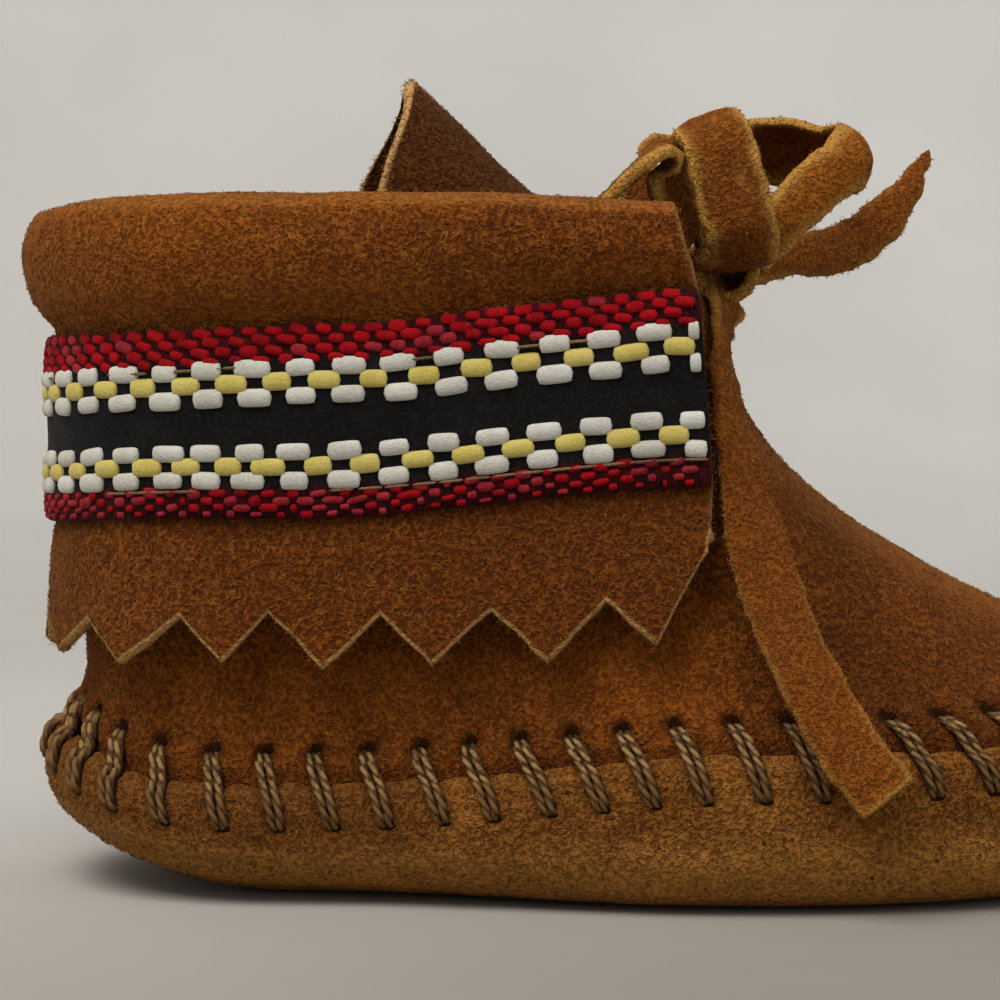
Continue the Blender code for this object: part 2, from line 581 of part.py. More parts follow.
def egg(name, at, half, power, mat, rings=10, around=16):
    """The knot's outer shape: an ellipsoid squared off by power."""
    def sp(c, s):
        return math.copysign(abs(c) ** power, c) * s

    points, faces = [], []
    for i in range(1, rings):
        b = math.pi * i / rings - math.pi / 2
        for j in range(around):
            a = 2 * math.pi * j / around
            points.append(
                Vector(at)
                + Vector((
                    sp(math.cos(b), 1) * sp(math.cos(a), half[0]),
                    sp(math.cos(b), 1) * sp(math.sin(a), half[1]),
                    sp(math.sin(b), half[2]),
                ))
            )
    low, high = len(points), len(points) + 1
    points += [Vector(at) - Vector((0, 0, half[2])), Vector(at) + Vector((0, 0, half[2]))]
    for i in range(rings - 2):
        for j in range(around):
            a, b = i * around + j, i * around + (j + 1) % around
            faces.append([a, b, b + around, a + around])
    for j in range(around):
        faces.append([low, (j + 1) % around, j])
        faces.append([high, (rings - 2) * around + j, (rings - 2) * around + (j + 1) % around])
    return solid(name, points, faces, mat)


strip("thong_crossing", CROSSING, CROSS_WIDE, step=2.4)
egg("thong_knot", KNOT_AT, KNOT_HALF, 0.8, SUEDE_THONG)
strip("thong_loop_near", LOOP_NEAR, LOOP_NEAR_WIDE)
strip("thong_loop_far", LOOP_FAR, LOOP_FAR_WIDE)
strip("thong_tail_near", TAIL_NEAR, TAIL_NEAR_WIDE)
strip("thong_tail_far", TAIL_FAR, TAIL_FAR_WIDE, point=0.9)
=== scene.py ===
"""How the baby moccasin looks: suede, woven tape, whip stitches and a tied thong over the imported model.

Lengths are in millimetres until a mesh is made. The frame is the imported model's: +X to the toe, +Y to the
inner side of the right foot, +Z up.
"""

import json
import math
from collections import namedtuple

import bmesh
import bpy
import numpy as np
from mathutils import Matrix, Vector

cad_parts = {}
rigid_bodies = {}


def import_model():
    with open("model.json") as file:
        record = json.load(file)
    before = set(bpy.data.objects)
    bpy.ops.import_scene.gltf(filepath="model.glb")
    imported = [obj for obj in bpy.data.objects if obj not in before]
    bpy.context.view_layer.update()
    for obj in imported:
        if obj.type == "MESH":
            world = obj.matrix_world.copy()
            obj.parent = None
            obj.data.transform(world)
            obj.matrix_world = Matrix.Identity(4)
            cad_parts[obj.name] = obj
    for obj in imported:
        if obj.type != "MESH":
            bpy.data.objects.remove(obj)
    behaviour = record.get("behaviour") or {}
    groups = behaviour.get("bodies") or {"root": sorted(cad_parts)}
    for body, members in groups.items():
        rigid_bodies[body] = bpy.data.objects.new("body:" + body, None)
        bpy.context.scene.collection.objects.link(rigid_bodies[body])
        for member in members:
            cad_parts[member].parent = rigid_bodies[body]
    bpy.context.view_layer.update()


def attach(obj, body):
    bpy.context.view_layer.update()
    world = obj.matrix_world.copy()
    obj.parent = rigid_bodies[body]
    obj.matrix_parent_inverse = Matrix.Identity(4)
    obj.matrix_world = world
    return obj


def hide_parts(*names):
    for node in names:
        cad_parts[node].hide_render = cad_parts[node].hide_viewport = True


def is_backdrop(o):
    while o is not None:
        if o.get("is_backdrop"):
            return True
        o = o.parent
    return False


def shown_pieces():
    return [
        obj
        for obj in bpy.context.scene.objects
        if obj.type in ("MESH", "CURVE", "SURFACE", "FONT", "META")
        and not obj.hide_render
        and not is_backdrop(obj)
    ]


for obj in list(bpy.data.objects):
    bpy.data.objects.remove(obj)
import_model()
MM = 0.001
RNG = np.random.default_rng(20)

# ---------------------------------------------------------------- the shoe's tables, mm
Section = namedtuple(
    "Section",
    "at x_back x_heel x_ball x_front w_heel w_ball z_back z_heel z_ball z_front n_back n_front arch",
)

UPPER = [
    Section(0.00, -49.7, -33, 12.0, 51.3, 17.5, 22.7, 9.0, 7.8, 9.2, 11.8, 2.1, 2.25, 0),
    Section(0.12, -50.0, -33, 12.0, 51.5, 17.8, 23.1, 14.2, 12.2, 14.4, 16.0, 2.1, 2.25, 0),
    Section(0.20, -49.8, -32, 11.0, 48.9, 17.9, 22.7, 17.8, 15.8, 17.6, 18.8, 2.1, 2.20, 0),
    Section(0.32, -50.1, -31, 8.0, 42.2, 18.1, 21.4, 23.4, 20.8, 21.8, 22.2, 2.1, 2.15, 0),
    Section(0.45, -50.2, -30, 5.5, 34.0, 18.2, 19.9, 29.4, 26.8, 27.0, 25.8, 2.1, 2.10, 0),
    Section(0.58, -50.0, -30, 3.0, 24.6, 18.3, 18.9, 35.4, 33.4, 32.8, 31.1, 2.1, 2.15, 0),
    Section(0.70, -49.8, -30, 1.0, 15.6, 18.4, 18.4, 42.0, 40.6, 39.6, 37.6, 2.1, 2.35, 0),
    Section(0.81, -49.8, -30, 0.0, 10.4, 18.5, 18.2, 49.0, 48.2, 47.4, 45.0, 2.1, 2.60, 0),
    Section(0.91, -49.8, -30, 0.0, 8.7, 18.5, 18.0, 55.0, 54.6, 54.0, 49.8, 2.1, 2.80, 0),
    Section(1.00, -49.8, -30, 0.0, 8.0, 18.5, 18.0, 59.6, 60.0, 59.4, 52.6, 2.1, 2.80, 0.4),
]

SOLE = [
    Section(0.00, -51.7, -33, 12, 53.2, 19.45, 24.70, 14.8, 11.0, 14.4, 16.1, 2.1, 2.25, -0.2),
    Section(0.10, -52.9, -33, 12, 54.3, 20.05, 25.25, 13.6, 9.8, 12.9, 14.4, 2.1, 2.25, -0.2),
    Section(0.30, -53.6, -33, 12, 55.4, 20.50, 25.70, 11.0, 7.4, 9.5, 10.8, 2.1, 2.25, -0.1),
    Section(0.52, -53.0, -33, 12, 55.3, 20.00, 25.50, 7.6, 4.6, 5.6, 7.2, 2.1, 2.25, 0),
    Section(0.74, -50.4, -32, 12, 53.2, 17.60, 23.90, 4.2, 2.0, 2.2, 3.4, 2.1, 2.25, 0),
    Section(0.89, -46.4, -31, 12, 49.0, 13.80, 20.80, 1.6, 0.6, 0.5, 1.0, 2.1, 2.25, 0),
    Section(1.00, -36.5, -26, 12, 43.6, 9.60, 17.20, 0.0, 0.0, 0.0, 0.0, 2.1, 2.25, 0),
]

CUFF = [
    Section(0.00, -48.50, -30, 3.7, 14, 17.20, 17.20, 60.0, 60.4, 60.2, 60.2, 2.1, 2, 0.4),
    Section(0.05, -48.50, -30, 3.7, 14, 17.20, 17.20, 61.1, 61.8, 61.3, 61.3, 2.1, 2, 0.4),
    Section(0.12, -50.60, -30, 3.7, 14, 19.20, 19.10, 62.3, 63.3, 62.6, 62.6, 2.1, 2, 0.5),
    Section(0.19, -54.10, -30, 3.9, 14, 22.60, 21.70, 61.3, 62.3, 61.6, 61.6, 2.1, 2, 0.5),
    Section(0.28, -55.40, -30, 4.5, 14, 23.90, 22.50, 57.8, 58.4, 58.8, 58.8, 2.1, 2, 0.3),
    Section(0.38, -54.60, -30, 5.1, 14, 23.00, 21.90, 53.4, 54.4, 56.6, 56.6, 2.1, 2, 0.1),
    Section(0.45, -52.30, -30, 5.7, 14, 20.90, 20.90, 50.0, 51.2, 54.6, 54.6, 2.1, 2, 0),
    Section(0.60, -52.30, -30, 6.4, 14, 20.90, 20.90, 41.6, 43.2, 46.2, 46.2, 2.1, 2, 0),
    Section(0.75, -52.70, -30, 7.0, 14, 21.00, 21.30, 33.2, 34.8, 37.6, 37.6, 2.1, 2, 0),
    Section(0.84, -53.10, -30, 6.8, 14, 21.60, 22.10, 30.2, 31.4, 33.8, 33.8, 2.1, 2, 0),
    Section(1.00, -53.30, -30, 6.2, 14, 22.20, 23.30, 26.6, 27.3, 28.8, 28.8, 2.1, 2, 0),
]
BRAID_FROM, BRAID_TO = 0.452, 0.748

Swing = namedtuple("Swing", "x y")
SWING = [Swing(-60, 0.45), Swing(-25, 0.65), Swing(8, -0.05), Swing(32, 0.95), Swing(56, 3.25), Swing(62, 4.05)]

Rib = namedtuple("Rib", "x z half roll turn")
TONGUE = [
    Rib(8.0, 44.4, 11.0, 34, 0),
    Rib(7.2, 48.0, 12.4, 30, 0),
    Rib(6.0, 51.6, 14.0, 24, 1),
    Rib(4.0, 54.8, 15.4, 18, 3),
    Rib(0.8, 57.4, 16.4, 14, 6),
    Rib(-3.6, 60.2, 17.8, 12.0, 8),
    Rib(-8.8, 63.6, 19.0, 11.2, 10),
    Rib(-13.0, 67.0, 18.6, 10.8, 12),
    Rib(-16.2, 70.2, 14.2, 9.8, 12),
    Rib(-18.2, 72.2, 8.0, 9.2, 8),
    Rib(-19.5, 73.5, 2.2, 8.8, 4),
]

# The saw teeth of the cuff's hem, cut by hand: along is the way round from the cuff's front edge to the heel,
# drop how far the cut hangs below the line of the notches, lift how far the cut edge curls outwards.
Cut = namedtuple("Cut", "along drop lift")
TEETH_OUTER = [
    Cut(0.0, -3.6, 0.1), Cut(3.4, 4.6, 0.3), Cut(8.3, 0.6, 0.0), Cut(12.9, 5.8, 0.1), Cut(18.3, 0.9, 0.0),
    Cut(23.3, 5.5, 0.3), Cut(28.0, 0.9, 0.1), Cut(33.0, 5.4, 0.2), Cut(37.9, 0.5, 0.0), Cut(41.9, 4.9, 0.6),
    Cut(45.7, 1.0, 0.3), Cut(51.6, 5.2, 0.7), Cut(56.6, 1.4, 0.2), Cut(62.6, 4.8, 0.0), Cut(67.4, 0.8, -0.1),
    Cut(72.0, 4.9, -0.2),
]
TEETH_INNER = [
    Cut(0.0, -2.2, 0.0), Cut(5.2, 4.8, 0.4), Cut(9.6, 0.6, 0.0), Cut(14.4, 5.4, 0.2), Cut(19.4, 0.8, 0.0),
    Cut(24.2, 5.0, 0.0), Cut(28.8, 0.5, 0.1), Cut(33.6, 5.5, 0.4), Cut(38.2, 0.9, 0.0), Cut(43.3, 5.1, 0.1),
    Cut(47.6, 0.7, 0.0), Cut(52.6, 4.7, 0.3), Cut(57.5, 0.8, 0.0), Cut(62.3, 5.3, 0.4), Cut(67.3, 0.8, 0.1),
    Cut(72.0, 4.9, 0.2),
]

# Thong routes: the strip's centre and the way its face looks there.
Turn = namedtuple("Turn", "x y z face_x face_y face_z")
CROSSING = [
    Turn(-3.0, -14.4, 61.8, -0.7, 0.0, 0.7),
    Turn(-1.4, -14.6, 63.2, -0.7, 0.0, 0.7),
    Turn(0.2, -15.2, 64.7, -0.6, 0.0, 0.8),
    Turn(1.5, -15.6, 66.0, -0.75, 0.0, 0.65),
    Turn(2.5, -15.2, 66.9, -0.6, -0.4, 0.7),
    Turn(3.2, -14.4, 66.7, 0.1, -0.7, 0.7),
    Turn(3.5, -13.5, 65.4, 0.6, -0.75, 0.3),
    Turn(3.9, -12.7, 63.5, 0.65, -0.75, 0.1),
    Turn(4.6, -11.7, 61.4, 0.6, -0.8, 0.1),
    Turn(5.1, -10.2, 59.2, 0.6, -0.8, 0.1),
    Turn(4.9, -7.6, 57.4, 0.95, -0.3, 0.1),
    Turn(5.1, -3.4, 56.9, 1.0, -0.1, 0.0),
    Turn(5.2, 0.4, 57.0, 1.0, 0.0, 0.0),
    Turn(5.4, 4.4, 57.4, 0.9, 0.3, 0.3),
    Turn(5.0, 8.2, 59.2, 0.7, 0.6, 0.3),
    Turn(4.2, 11.6, 61.6, 0.4, 0.85, 0.3),
    Turn(2.8, 13.8, 63.6, 0.1, 0.95, 0.3),
    Turn(1.2, 14.8, 64.6, 0.0, 0.95, 0.3),
]
THONG_NEAR = [
    Turn(8.9, -4.6, 57.0, -0.8, 0.2, 0.5),
    Turn(7.8, -6.0, 58.8, -0.85, 0.3, 0.3),
    Turn(7.2, -6.6, 61.2, -0.8, 0.6, 0.1),
    Turn(6.6, -7.8, 64.6, -0.7, 0.7, 0.1),
    Turn(6.2, -9.6, 67.9, -0.6, 0.3, 0.6),
    Turn(6.8, -12.4, 69.4, -0.2, -0.4, 0.9),
    Turn(7.6, -14.8, 68.6, 0.0, -0.9, 0.45),
    Turn(8.4, -15.6, 66.2, 0.0, -1.0, 0.1),
    Turn(9.2, -15.7, 63.0, 0.05, -1.0, 0.0),
    Turn(9.9, -15.4, 60.2, 0.1, -0.98, -0.2),
    Turn(10.2, -13.2, 58.0, 0.1, -0.6, -0.8),
    Turn(9.8, -9.8, 57.2, 0.1, -0.1, -1.0),
    Turn(9.0, -6.4, 56.9, 0.1, 0.3, -1.0),
    Turn(8.3, -4.8, 55.3, 0.3, 0.9, -0.3),
    Turn(8.8, -6.9, 53.9, 0.75, -0.2, 0.6),
    Turn(8.6, -10.3, 52.4, 0.88, -0.3, 0.4),
    Turn(8.4, -13.8, 49.4, 0.90, -0.42, 0.15),
    Turn(9.0, -16.8, 43.6, 0.74, -0.66, 0.1),
    Turn(10.2, -19.0, 37.6, 0.50, -0.85, 0.12),
    Turn(11.5, -20.9, 31.6, 0.30, -0.93, 0.18),
    Turn(13.6, -23.2, 25.4, 0.24, -0.94, 0.26),
    Turn(16.4, -25.8, 19.4, 0.14, -0.96, 0.26),
    Turn(19.2, -27.6, 14.8, 0.08, -0.98, 0.2),
    Turn(22.0, -28.4, 11.3, 0.06, -0.98, 0.16),
]
THONG_FAR = [
    Turn(9.6, -5.2, 57.4, -0.5, 0.6, 0.6),
    Turn(10.0, -2.0, 59.6, -0.6, 0.7, 0.3),
    Turn(10.4, 1.0, 62.4, -0.7, 0.65, 0.2),
    Turn(10.6, 3.0, 65.0, -0.75, 0.6, 0.3),
    Turn(11.8, 4.4, 66.8, -0.5, 0.7, 0.5),
    Turn(14.2, 4.9, 67.2, -0.1, 0.75, 0.65),
    Turn(16.8, 4.3, 66.8, 0.15, 0.78, 0.6),
    Turn(19.4, 2.9, 66.4, 0.4, 0.75, 0.5),
    Turn(21.0, 0.9, 66.6, 0.9, 0.35, 0.3),
    Turn(20.6, -1.3, 66.2, 0.5, -0.85, 0.1),
    Turn(18.2, -2.4, 64.4, 0.1, -0.98, -0.1),
    Turn(15.3, -3.4, 61.7, 0.1, -0.97, -0.2),
    Turn(12.8, -4.6, 59.2, 0.1, -0.9, -0.3),
    Turn(10.8, -5.2, 57.4, 0.1, -0.9, 0.1),
    Turn(11.0, -3.4, 56.4, 0.1, -0.8, 0.6),
    Turn(13.2, -0.6, 57.0, 0.1, -0.95, 0.3),
    Turn(16.0, 2.0, 57.6, 0.0, -0.97, 0.22),
    Turn(18.8, 4.2, 57.8, -0.1, -0.97, 0.2),
    Turn(21.8, 6.2, 58.7, -0.15, -0.96, 0.2),
    Turn(25.0, 8.0, 61.1, -0.2, -0.96, 0.15),
    Turn(27.5, 9.4, 64.2, -0.25, -0.96, 0.1),
    Turn(29.2, 10.4, 67.0, -0.3, -0.95, 0.1),
]
# the slit on the near loop's face
SLIT = [(9.2, -15.9, 65.8), (10.0, -15.9, 64.2), (11.0, -15.7, 62.6)]


# ---------------------------------------------------------------- mathematics
def through(xs, ys, x):
    """The values at x of the smooth curve through the points, which never overshoots them."""
    xs, ys, x = np.asarray(xs, float), np.asarray(ys, float), np.asarray(x, float)
    d = np.diff(ys) / np.diff(xs)
    m = np.empty(len(xs))
    m[0], m[-1] = d[0], d[-1]
    total = d[:-1] + d[1:]
    m[1:-1] = np.where(d[:-1] * d[1:] > 0, 2 * d[:-1] * d[1:] / np.where(total == 0, 1, total), 0)
    x = np.clip(x, xs[0], xs[-1])
    i = np.clip(np.searchsorted(xs, x, side="right") - 1, 0, len(xs) - 2)
    h = xs[i + 1] - xs[i]
    f = (x - xs[i]) / h
    return (
        (2 * f**3 - 3 * f**2 + 1) * ys[i]
        + (f**3 - 2 * f**2 + f) * h * m[i]
        + (3 * f**2 - 2 * f**3) * ys[i + 1]
        + (f**3 - f**2) * h * m[i + 1]
    )


def smooth(low, high, x):
    f = np.clip((np.asarray(x, float) - low) / (high - low), 0, 1)
    return f * f * (3 - 2 * f)


def unit(v):
    return v / np.maximum(np.linalg.norm(v, axis=-1, keepdims=True), 1e-9)


def swing(x):
    return through([r.x for r in SWING], [r.y for r in SWING], x)


def heel_spring(x):
    """How far the underside has lifted off the floor towards the back of the heel."""
    return 1.5 * smooth(-29, -47, x)


def plan(table, at, v):
    """Points of the form, (rows, columns, 3). v runs 0 to 3 from the toe round the inner side to the heel's
    back, and 0 to -3 round the outer side: 1 is the ball, 2 is where the heel's round begins."""
    at, v = np.atleast_1d(np.asarray(at, float)), np.atleast_1d(np.asarray(v, float))
    ats = [r.at for r in table]
    c = {k: through(ats, [getattr(r, k) for r in table], at)[:, None] for k in Section._fields[1:]}
    u, side = np.abs(v)[None, :], np.where(v >= 0, 1.0, -1.0)[None, :]
    a = np.clip(u, 0, 1) * np.pi / 2
    toe_x = c["x_ball"] + (c["x_front"] - c["x_ball"]) * np.maximum(np.cos(a), 0) ** (2 / c["n_front"])
    toe_w = c["w_ball"] * np.sin(a) ** (2 / c["n_front"])
    toe_z = c["z_ball"] + (c["z_front"] - c["z_ball"]) * np.cos(a) ** 2
    f = np.clip(u - 1, 0, 1)
    g = f * f * (3 - 2 * f)
    mid_x = c["x_ball"] + (c["x_heel"] - c["x_ball"]) * f
    mid_w = c["w_ball"] + (c["w_heel"] - c["w_ball"]) * g
    mid_z = c["z_ball"] + (c["z_heel"] - c["z_ball"]) * g + c["arch"] * 16 * f**2 * (1 - f) ** 2
    b = np.clip(u - 2, 0, 1) * np.pi / 2
    heel_x = c["x_heel"] - (c["x_heel"] - c["x_back"]) * np.sin(b) ** (2 / c["n_back"])
    heel_w = c["w_heel"] * np.maximum(np.cos(b), 0) ** (2 / c["n_back"])
    heel_z = c["z_heel"] + (c["z_back"] - c["z_heel"]) * np.sin(b) ** 3
    x = np.where(u <= 1, toe_x, np.where(u <= 2, mid_x, heel_x))
    w = np.where(u <= 1, toe_w, np.where(u <= 2, mid_w, heel_w))
    z = np.where(u <= 1, toe_z, np.where(u <= 2, mid_z, heel_z))
    z = z + heel_spring(x) * smooth(0, 1, z) * (1 - smooth(2, 12, z))
    return np.stack([x, side * w + swing(x), z], axis=-1)


def run_of(points, axis=0):
    """Distance along a line of points, or along one axis of a grid, starting at 0."""
    step = np.linalg.norm(np.diff(points, axis=axis), axis=-1)
    pad = [(0, 0)] * step.ndim
    pad[axis] = (1, 0)
    return np.cumsum(np.pad(step, pad), axis=axis)


def vs_at(table, at, v0, v1, distances=None, count=None):
    """Values of v at the given distances along a section, or at count + 1 even ones, and its whole length."""
    fine = np.linspace(v0, v1, 4001)
    run = run_of(plan(table, at, fine)[0])
    if distances is None:
        distances = np.linspace(0, run[-1], count + 1)
    return np.interp(distances, run, fine), run[-1]


def hashed(i, dx, dy, dz, seed):
    n = (i[..., 0] + dx) * 73856093 ^ (i[..., 1] + dy) * 19349663 ^ (i[..., 2] + dz) * 83492791 ^ (seed * 40503 + 7)
    n = (n ^ (n >> 13)) * 1274126177
    n = n ^ (n >> 16)
    return (n & 0xFFFF) / 32767.5 - 1


def noise(p, size, seed=0, octaves=1):
    """Smooth noise from -1 to 1 whose lumps are about size mm across."""
    out, scale, share = 0, 1.0 / size, 1.0
    for k in range(octaves):
        q = np.asarray(p) * scale + 7.3 * k
        i = np.floor(q).astype(np.int64)
        f = q - i
        u = f * f * (3 - 2 * f)
        s = seed + 31 * k
        corner = [[[hashed(i, a, b, c, s) for c in (0, 1)] for b in (0, 1)] for a in (0, 1)]
        x = [[corner[0][b][c] * (1 - u[..., 0]) + corner[1][b][c] * u[..., 0] for c in (0, 1)] for b in (0, 1)]
        y = [x[0][c] * (1 - u[..., 1]) + x[1][c] * u[..., 1] for c in (0, 1)]
        out = out + share * (y[0] * (1 - u[..., 2]) + y[1] * u[..., 2])
        scale, share = scale * 2.03, share * 0.5
    return out / (2 - 2 * 0.5**octaves)


def normals(grid, wrap, towards):
    """Unit normals of a grid, turned the other way when towards is -1."""
    if wrap:
        along = np.roll(grid, -1, axis=1) - np.roll(grid, 1, axis=1)
    else:
        along = np.gradient(grid, axis=1)
    up = np.gradient(grid, axis=0)
    n = unit(np.cross(up, along))
    return n * towards


# Soft creases: a trough (depth above 0) or ridge (below 0) along a line through the points, that wide.
Crease = namedtuple("Crease", "depth wide line")


def creased(points, creases):
    """How far each point is pushed in by the creases."""
    flat = points.reshape(-1, 3)
    total = np.zeros(len(flat))
    for crease in creases:
        line = np.array(crease.line, float)
        near, share = np.full(len(flat), 1e9), np.zeros(len(flat))
        for k, (a, b) in enumerate(zip(line, line[1:])):
            t = np.clip((flat - a) @ (b - a) / ((b - a) @ (b - a)), 0, 1)
            d = np.linalg.norm(flat - (a + t[:, None] * (b - a)), axis=1)
            closer = d < near
            near[closer] = d[closer]
            share[closer] = (k + t[closer]) / (len(line) - 1)
        fade = np.sin(np.pi * np.clip(share, 0, 1)) ** 0.5
        total += crease.depth * fade * np.exp(-((near / crease.wide) ** 2))
    return total.reshape(points.shape[:-1])


# ---------------------------------------------------------------- making meshes
def make(name, points, faces, mats, face_mats=None, marks=None, sharp=None):
    """A mesh object from points in mm and lists of faces. faces is a list of integer arrays, (n, 3) or (n, 4),
    or plain lists for larger faces. marks are numbers per point that the materials read."""
    mesh = bpy.data.meshes.new(name)
    starts, totals, loops, count = [], [], [], 0
    for block in faces:
        block = np.asarray(block, np.int64)
        if block.ndim == 1:
            block = block[None, :]
        n, k = block.shape
        starts.append(count + np.arange(n) * k)
        totals.append(np.full(n, k))
        loops.append(block.ravel())
        count += n * k
    starts, totals, loops = np.concatenate(starts), np.concatenate(totals), np.concatenate(loops)
    points = np.asarray(points, float).reshape(-1, 3)
    mesh.vertices.add(len(points))
    mesh.vertices.foreach_set("co", (points * MM).astype(np.float32).ravel())
    mesh.loops.add(len(loops))
    mesh.loops.foreach_set("vertex_index", loops.astype(np.int32))
    mesh.polygons.add(len(starts))
    mesh.polygons.foreach_set("loop_start", starts.astype(np.int32))
    mesh.polygons.foreach_set("loop_total", totals.astype(np.int32))
    for mat in mats:
        mesh.materials.append(mat)
    if face_mats is not None:
        mesh.polygons.foreach_set("material_index", np.asarray(face_mats, np.int32))
    mesh.update(calc_edges=True)
    mesh.shade_smooth()
    if sharp:
        mesh.set_sharp_from_angle(angle=math.radians(sharp))
    for key, values in (marks or {}).items():
        layer = mesh.attributes.new(key, "FLOAT", "POINT")
        layer.data.foreach_set("value", np.asarray(values, np.float32).ravel())
    mesh.validate()
    obj = bpy.data.objects.new(name, mesh)
    bpy.context.scene.collection.objects.link(obj)
    return obj


def loft(rows, wrap_rows, wrap_cols, flip=False):
    """Quads over a grid of rows by columns."""
    n_rows, n_cols = rows
    i = np.arange(n_rows if wrap_rows else n_rows - 1)[:, None]
    j = np.arange(n_cols if wrap_cols else n_cols - 1)[None, :]
    i2, j2 = (i + 1) % n_rows, (j + 1) % n_cols
    quads = np.stack([i * n_cols + j, i * n_cols + j2, i2 * n_cols + j2, i2 * n_cols + j], axis=-1).reshape(-1, 4)
    return quads[:, ::-1] if flip else quads


def outward(obj):
    """Turns the faces of a closed mesh to face out."""
    mesh = obj.data
    n = len(mesh.vertices)
    co = np.empty(n * 3)
    mesh.vertices.foreach_get("co", co)
    co = co.reshape(-1, 3)
    mesh.calc_loop_triangles()
    tri = np.empty(len(mesh.loop_triangles) * 3, np.int32)
    mesh.loop_triangles.foreach_get("vertices", tri)
    a, b, c = (co[tri.reshape(-1, 3)[:, k]] for k in range(3))
    if np.einsum("ij,ij->i", a, np.cross(b, c)).sum() < 0:
        mesh.flip_normals()
    return obj


# ---------------------------------------------------------------- materials
def colour(r, g, b):
    """An sRGB colour, 0 to 255, as the linear numbers a shader takes."""
    return [((c / 255 + 0.055) / 1.055) ** 2.4 if c > 10 else c / 255 / 12.92 for c in (r, g, b)] + [1.0]


class Nodes:
    """A material's node tree, with short calls for the few nodes used here."""

    def __init__(self, name):
        self.mat = bpy.data.materials.new(name)
        self.mat.use_nodes = True
        self.tree = self.mat.node_tree
        self.tree.nodes.clear()
        self.out = self.add("ShaderNodeOutputMaterial")
        self.place = self.add("ShaderNodeTexCoord").outputs["Object"]

    def add(self, kind, **values):
        node = self.tree.nodes.new(kind)
        for key, value in values.items():
            setattr(node, key, value)
        return node

    def put(self, socket, value):
        if isinstance(value, bpy.types.NodeSocket):
            self.tree.links.new(value, socket)
        elif value is not None:
            socket.default_value = value

    def mark(self, name):
        return self.add("ShaderNodeAttribute", attribute_name=name).outputs["Fac"]

    def math(self, operation, a, b=0.0, c=None, clamp=False):
        node = self.add("ShaderNodeMath", operation=operation, use_clamp=clamp)
        for socket, value in zip(node.inputs, (a, b, c)):
            self.put(socket, value)
        return node.outputs[0]

    def noise(self, scale, detail=2.0, rough=0.5, distort=0.0, kind="FBM", at=None, lacunarity=2.0):
        """Noise, 0 to 1 for FBM, whose lumps are about 1 / scale metres across."""
        node = self.add("ShaderNodeTexNoise", noise_type=kind, normalize=kind == "FBM")
        self.put(node.inputs["Vector"], at or self.place)
        node.inputs["Scale"].default_value = scale
        node.inputs["Detail"].default_value = detail
        node.inputs["Roughness"].default_value = rough
        node.inputs["Lacunarity"].default_value = lacunarity
        node.inputs["Distortion"].default_value = distort
        return node.outputs["Fac"], node.outputs["Color"]

    def ramp(self, value, low, high, curve="SMOOTHSTEP"):
        node = self.add("ShaderNodeMapRange", interpolation_type=curve)
        self.put(node.inputs["Value"], value)
        node.inputs["From Min"].default_value = low
        node.inputs["From Max"].default_value = high
        return node.outputs["Result"]

    def mix(self, share, a, b, blend="MIX"):
        node = self.add("ShaderNodeMix", data_type="RGBA", blend_type=blend)
        self.put(node.inputs[0], share)
        self.put(node.inputs[6], a)
        self.put(node.inputs[7], b)
        return node.outputs[2]

    def moved(self, at, colour_noise, amount):
        """at, pushed about by a coloured noise: it makes straight patterns curl."""
        shift = self.add("ShaderNodeVectorMath", operation="SUBTRACT")
        self.put(shift.inputs[0], colour_noise)
        shift.inputs[1].default_value = (0.5, 0.5, 0.5)
        scaled = self.add("ShaderNodeVectorMath", operation="MULTIPLY_ADD")
        self.put(scaled.inputs[0], shift.outputs[0])
        scaled.inputs[1].default_value = (amount, amount, amount)
        self.put(scaled.inputs[2], at)
        return scaled.outputs[0]

    def bump(self, height, distance, strength=1.0, base=None):
        node = self.add("ShaderNodeBump")
        node.inputs["Strength"].default_value = strength
        node.inputs["Distance"].default_value = distance
        self.put(node.inputs["Height"], height)
        self.put(node.inputs["Normal"], base)
        return node.outputs["Normal"]

    def surface(self, base, rough=0.9, normal=None, sheen=0.0, sheen_colour=(1, 1, 1, 1), sheen_rough=0.5, level=0.2):
        node = self.add("ShaderNodeBsdfPrincipled")
        self.put(node.inputs["Base Color"], base)
        self.put(node.inputs["Roughness"], rough)
        self.put(node.inputs["Normal"], normal)
        node.inputs["Specular IOR Level"].default_value = level
        node.inputs["Sheen Weight"].default_value = sheen
        node.inputs["Sheen Tint"].default_value = sheen_colour
        node.inputs["Sheen Roughness"].default_value = sheen_rough
        self.put(self.out.inputs["Surface"], node.outputs[0])
        return self.mat


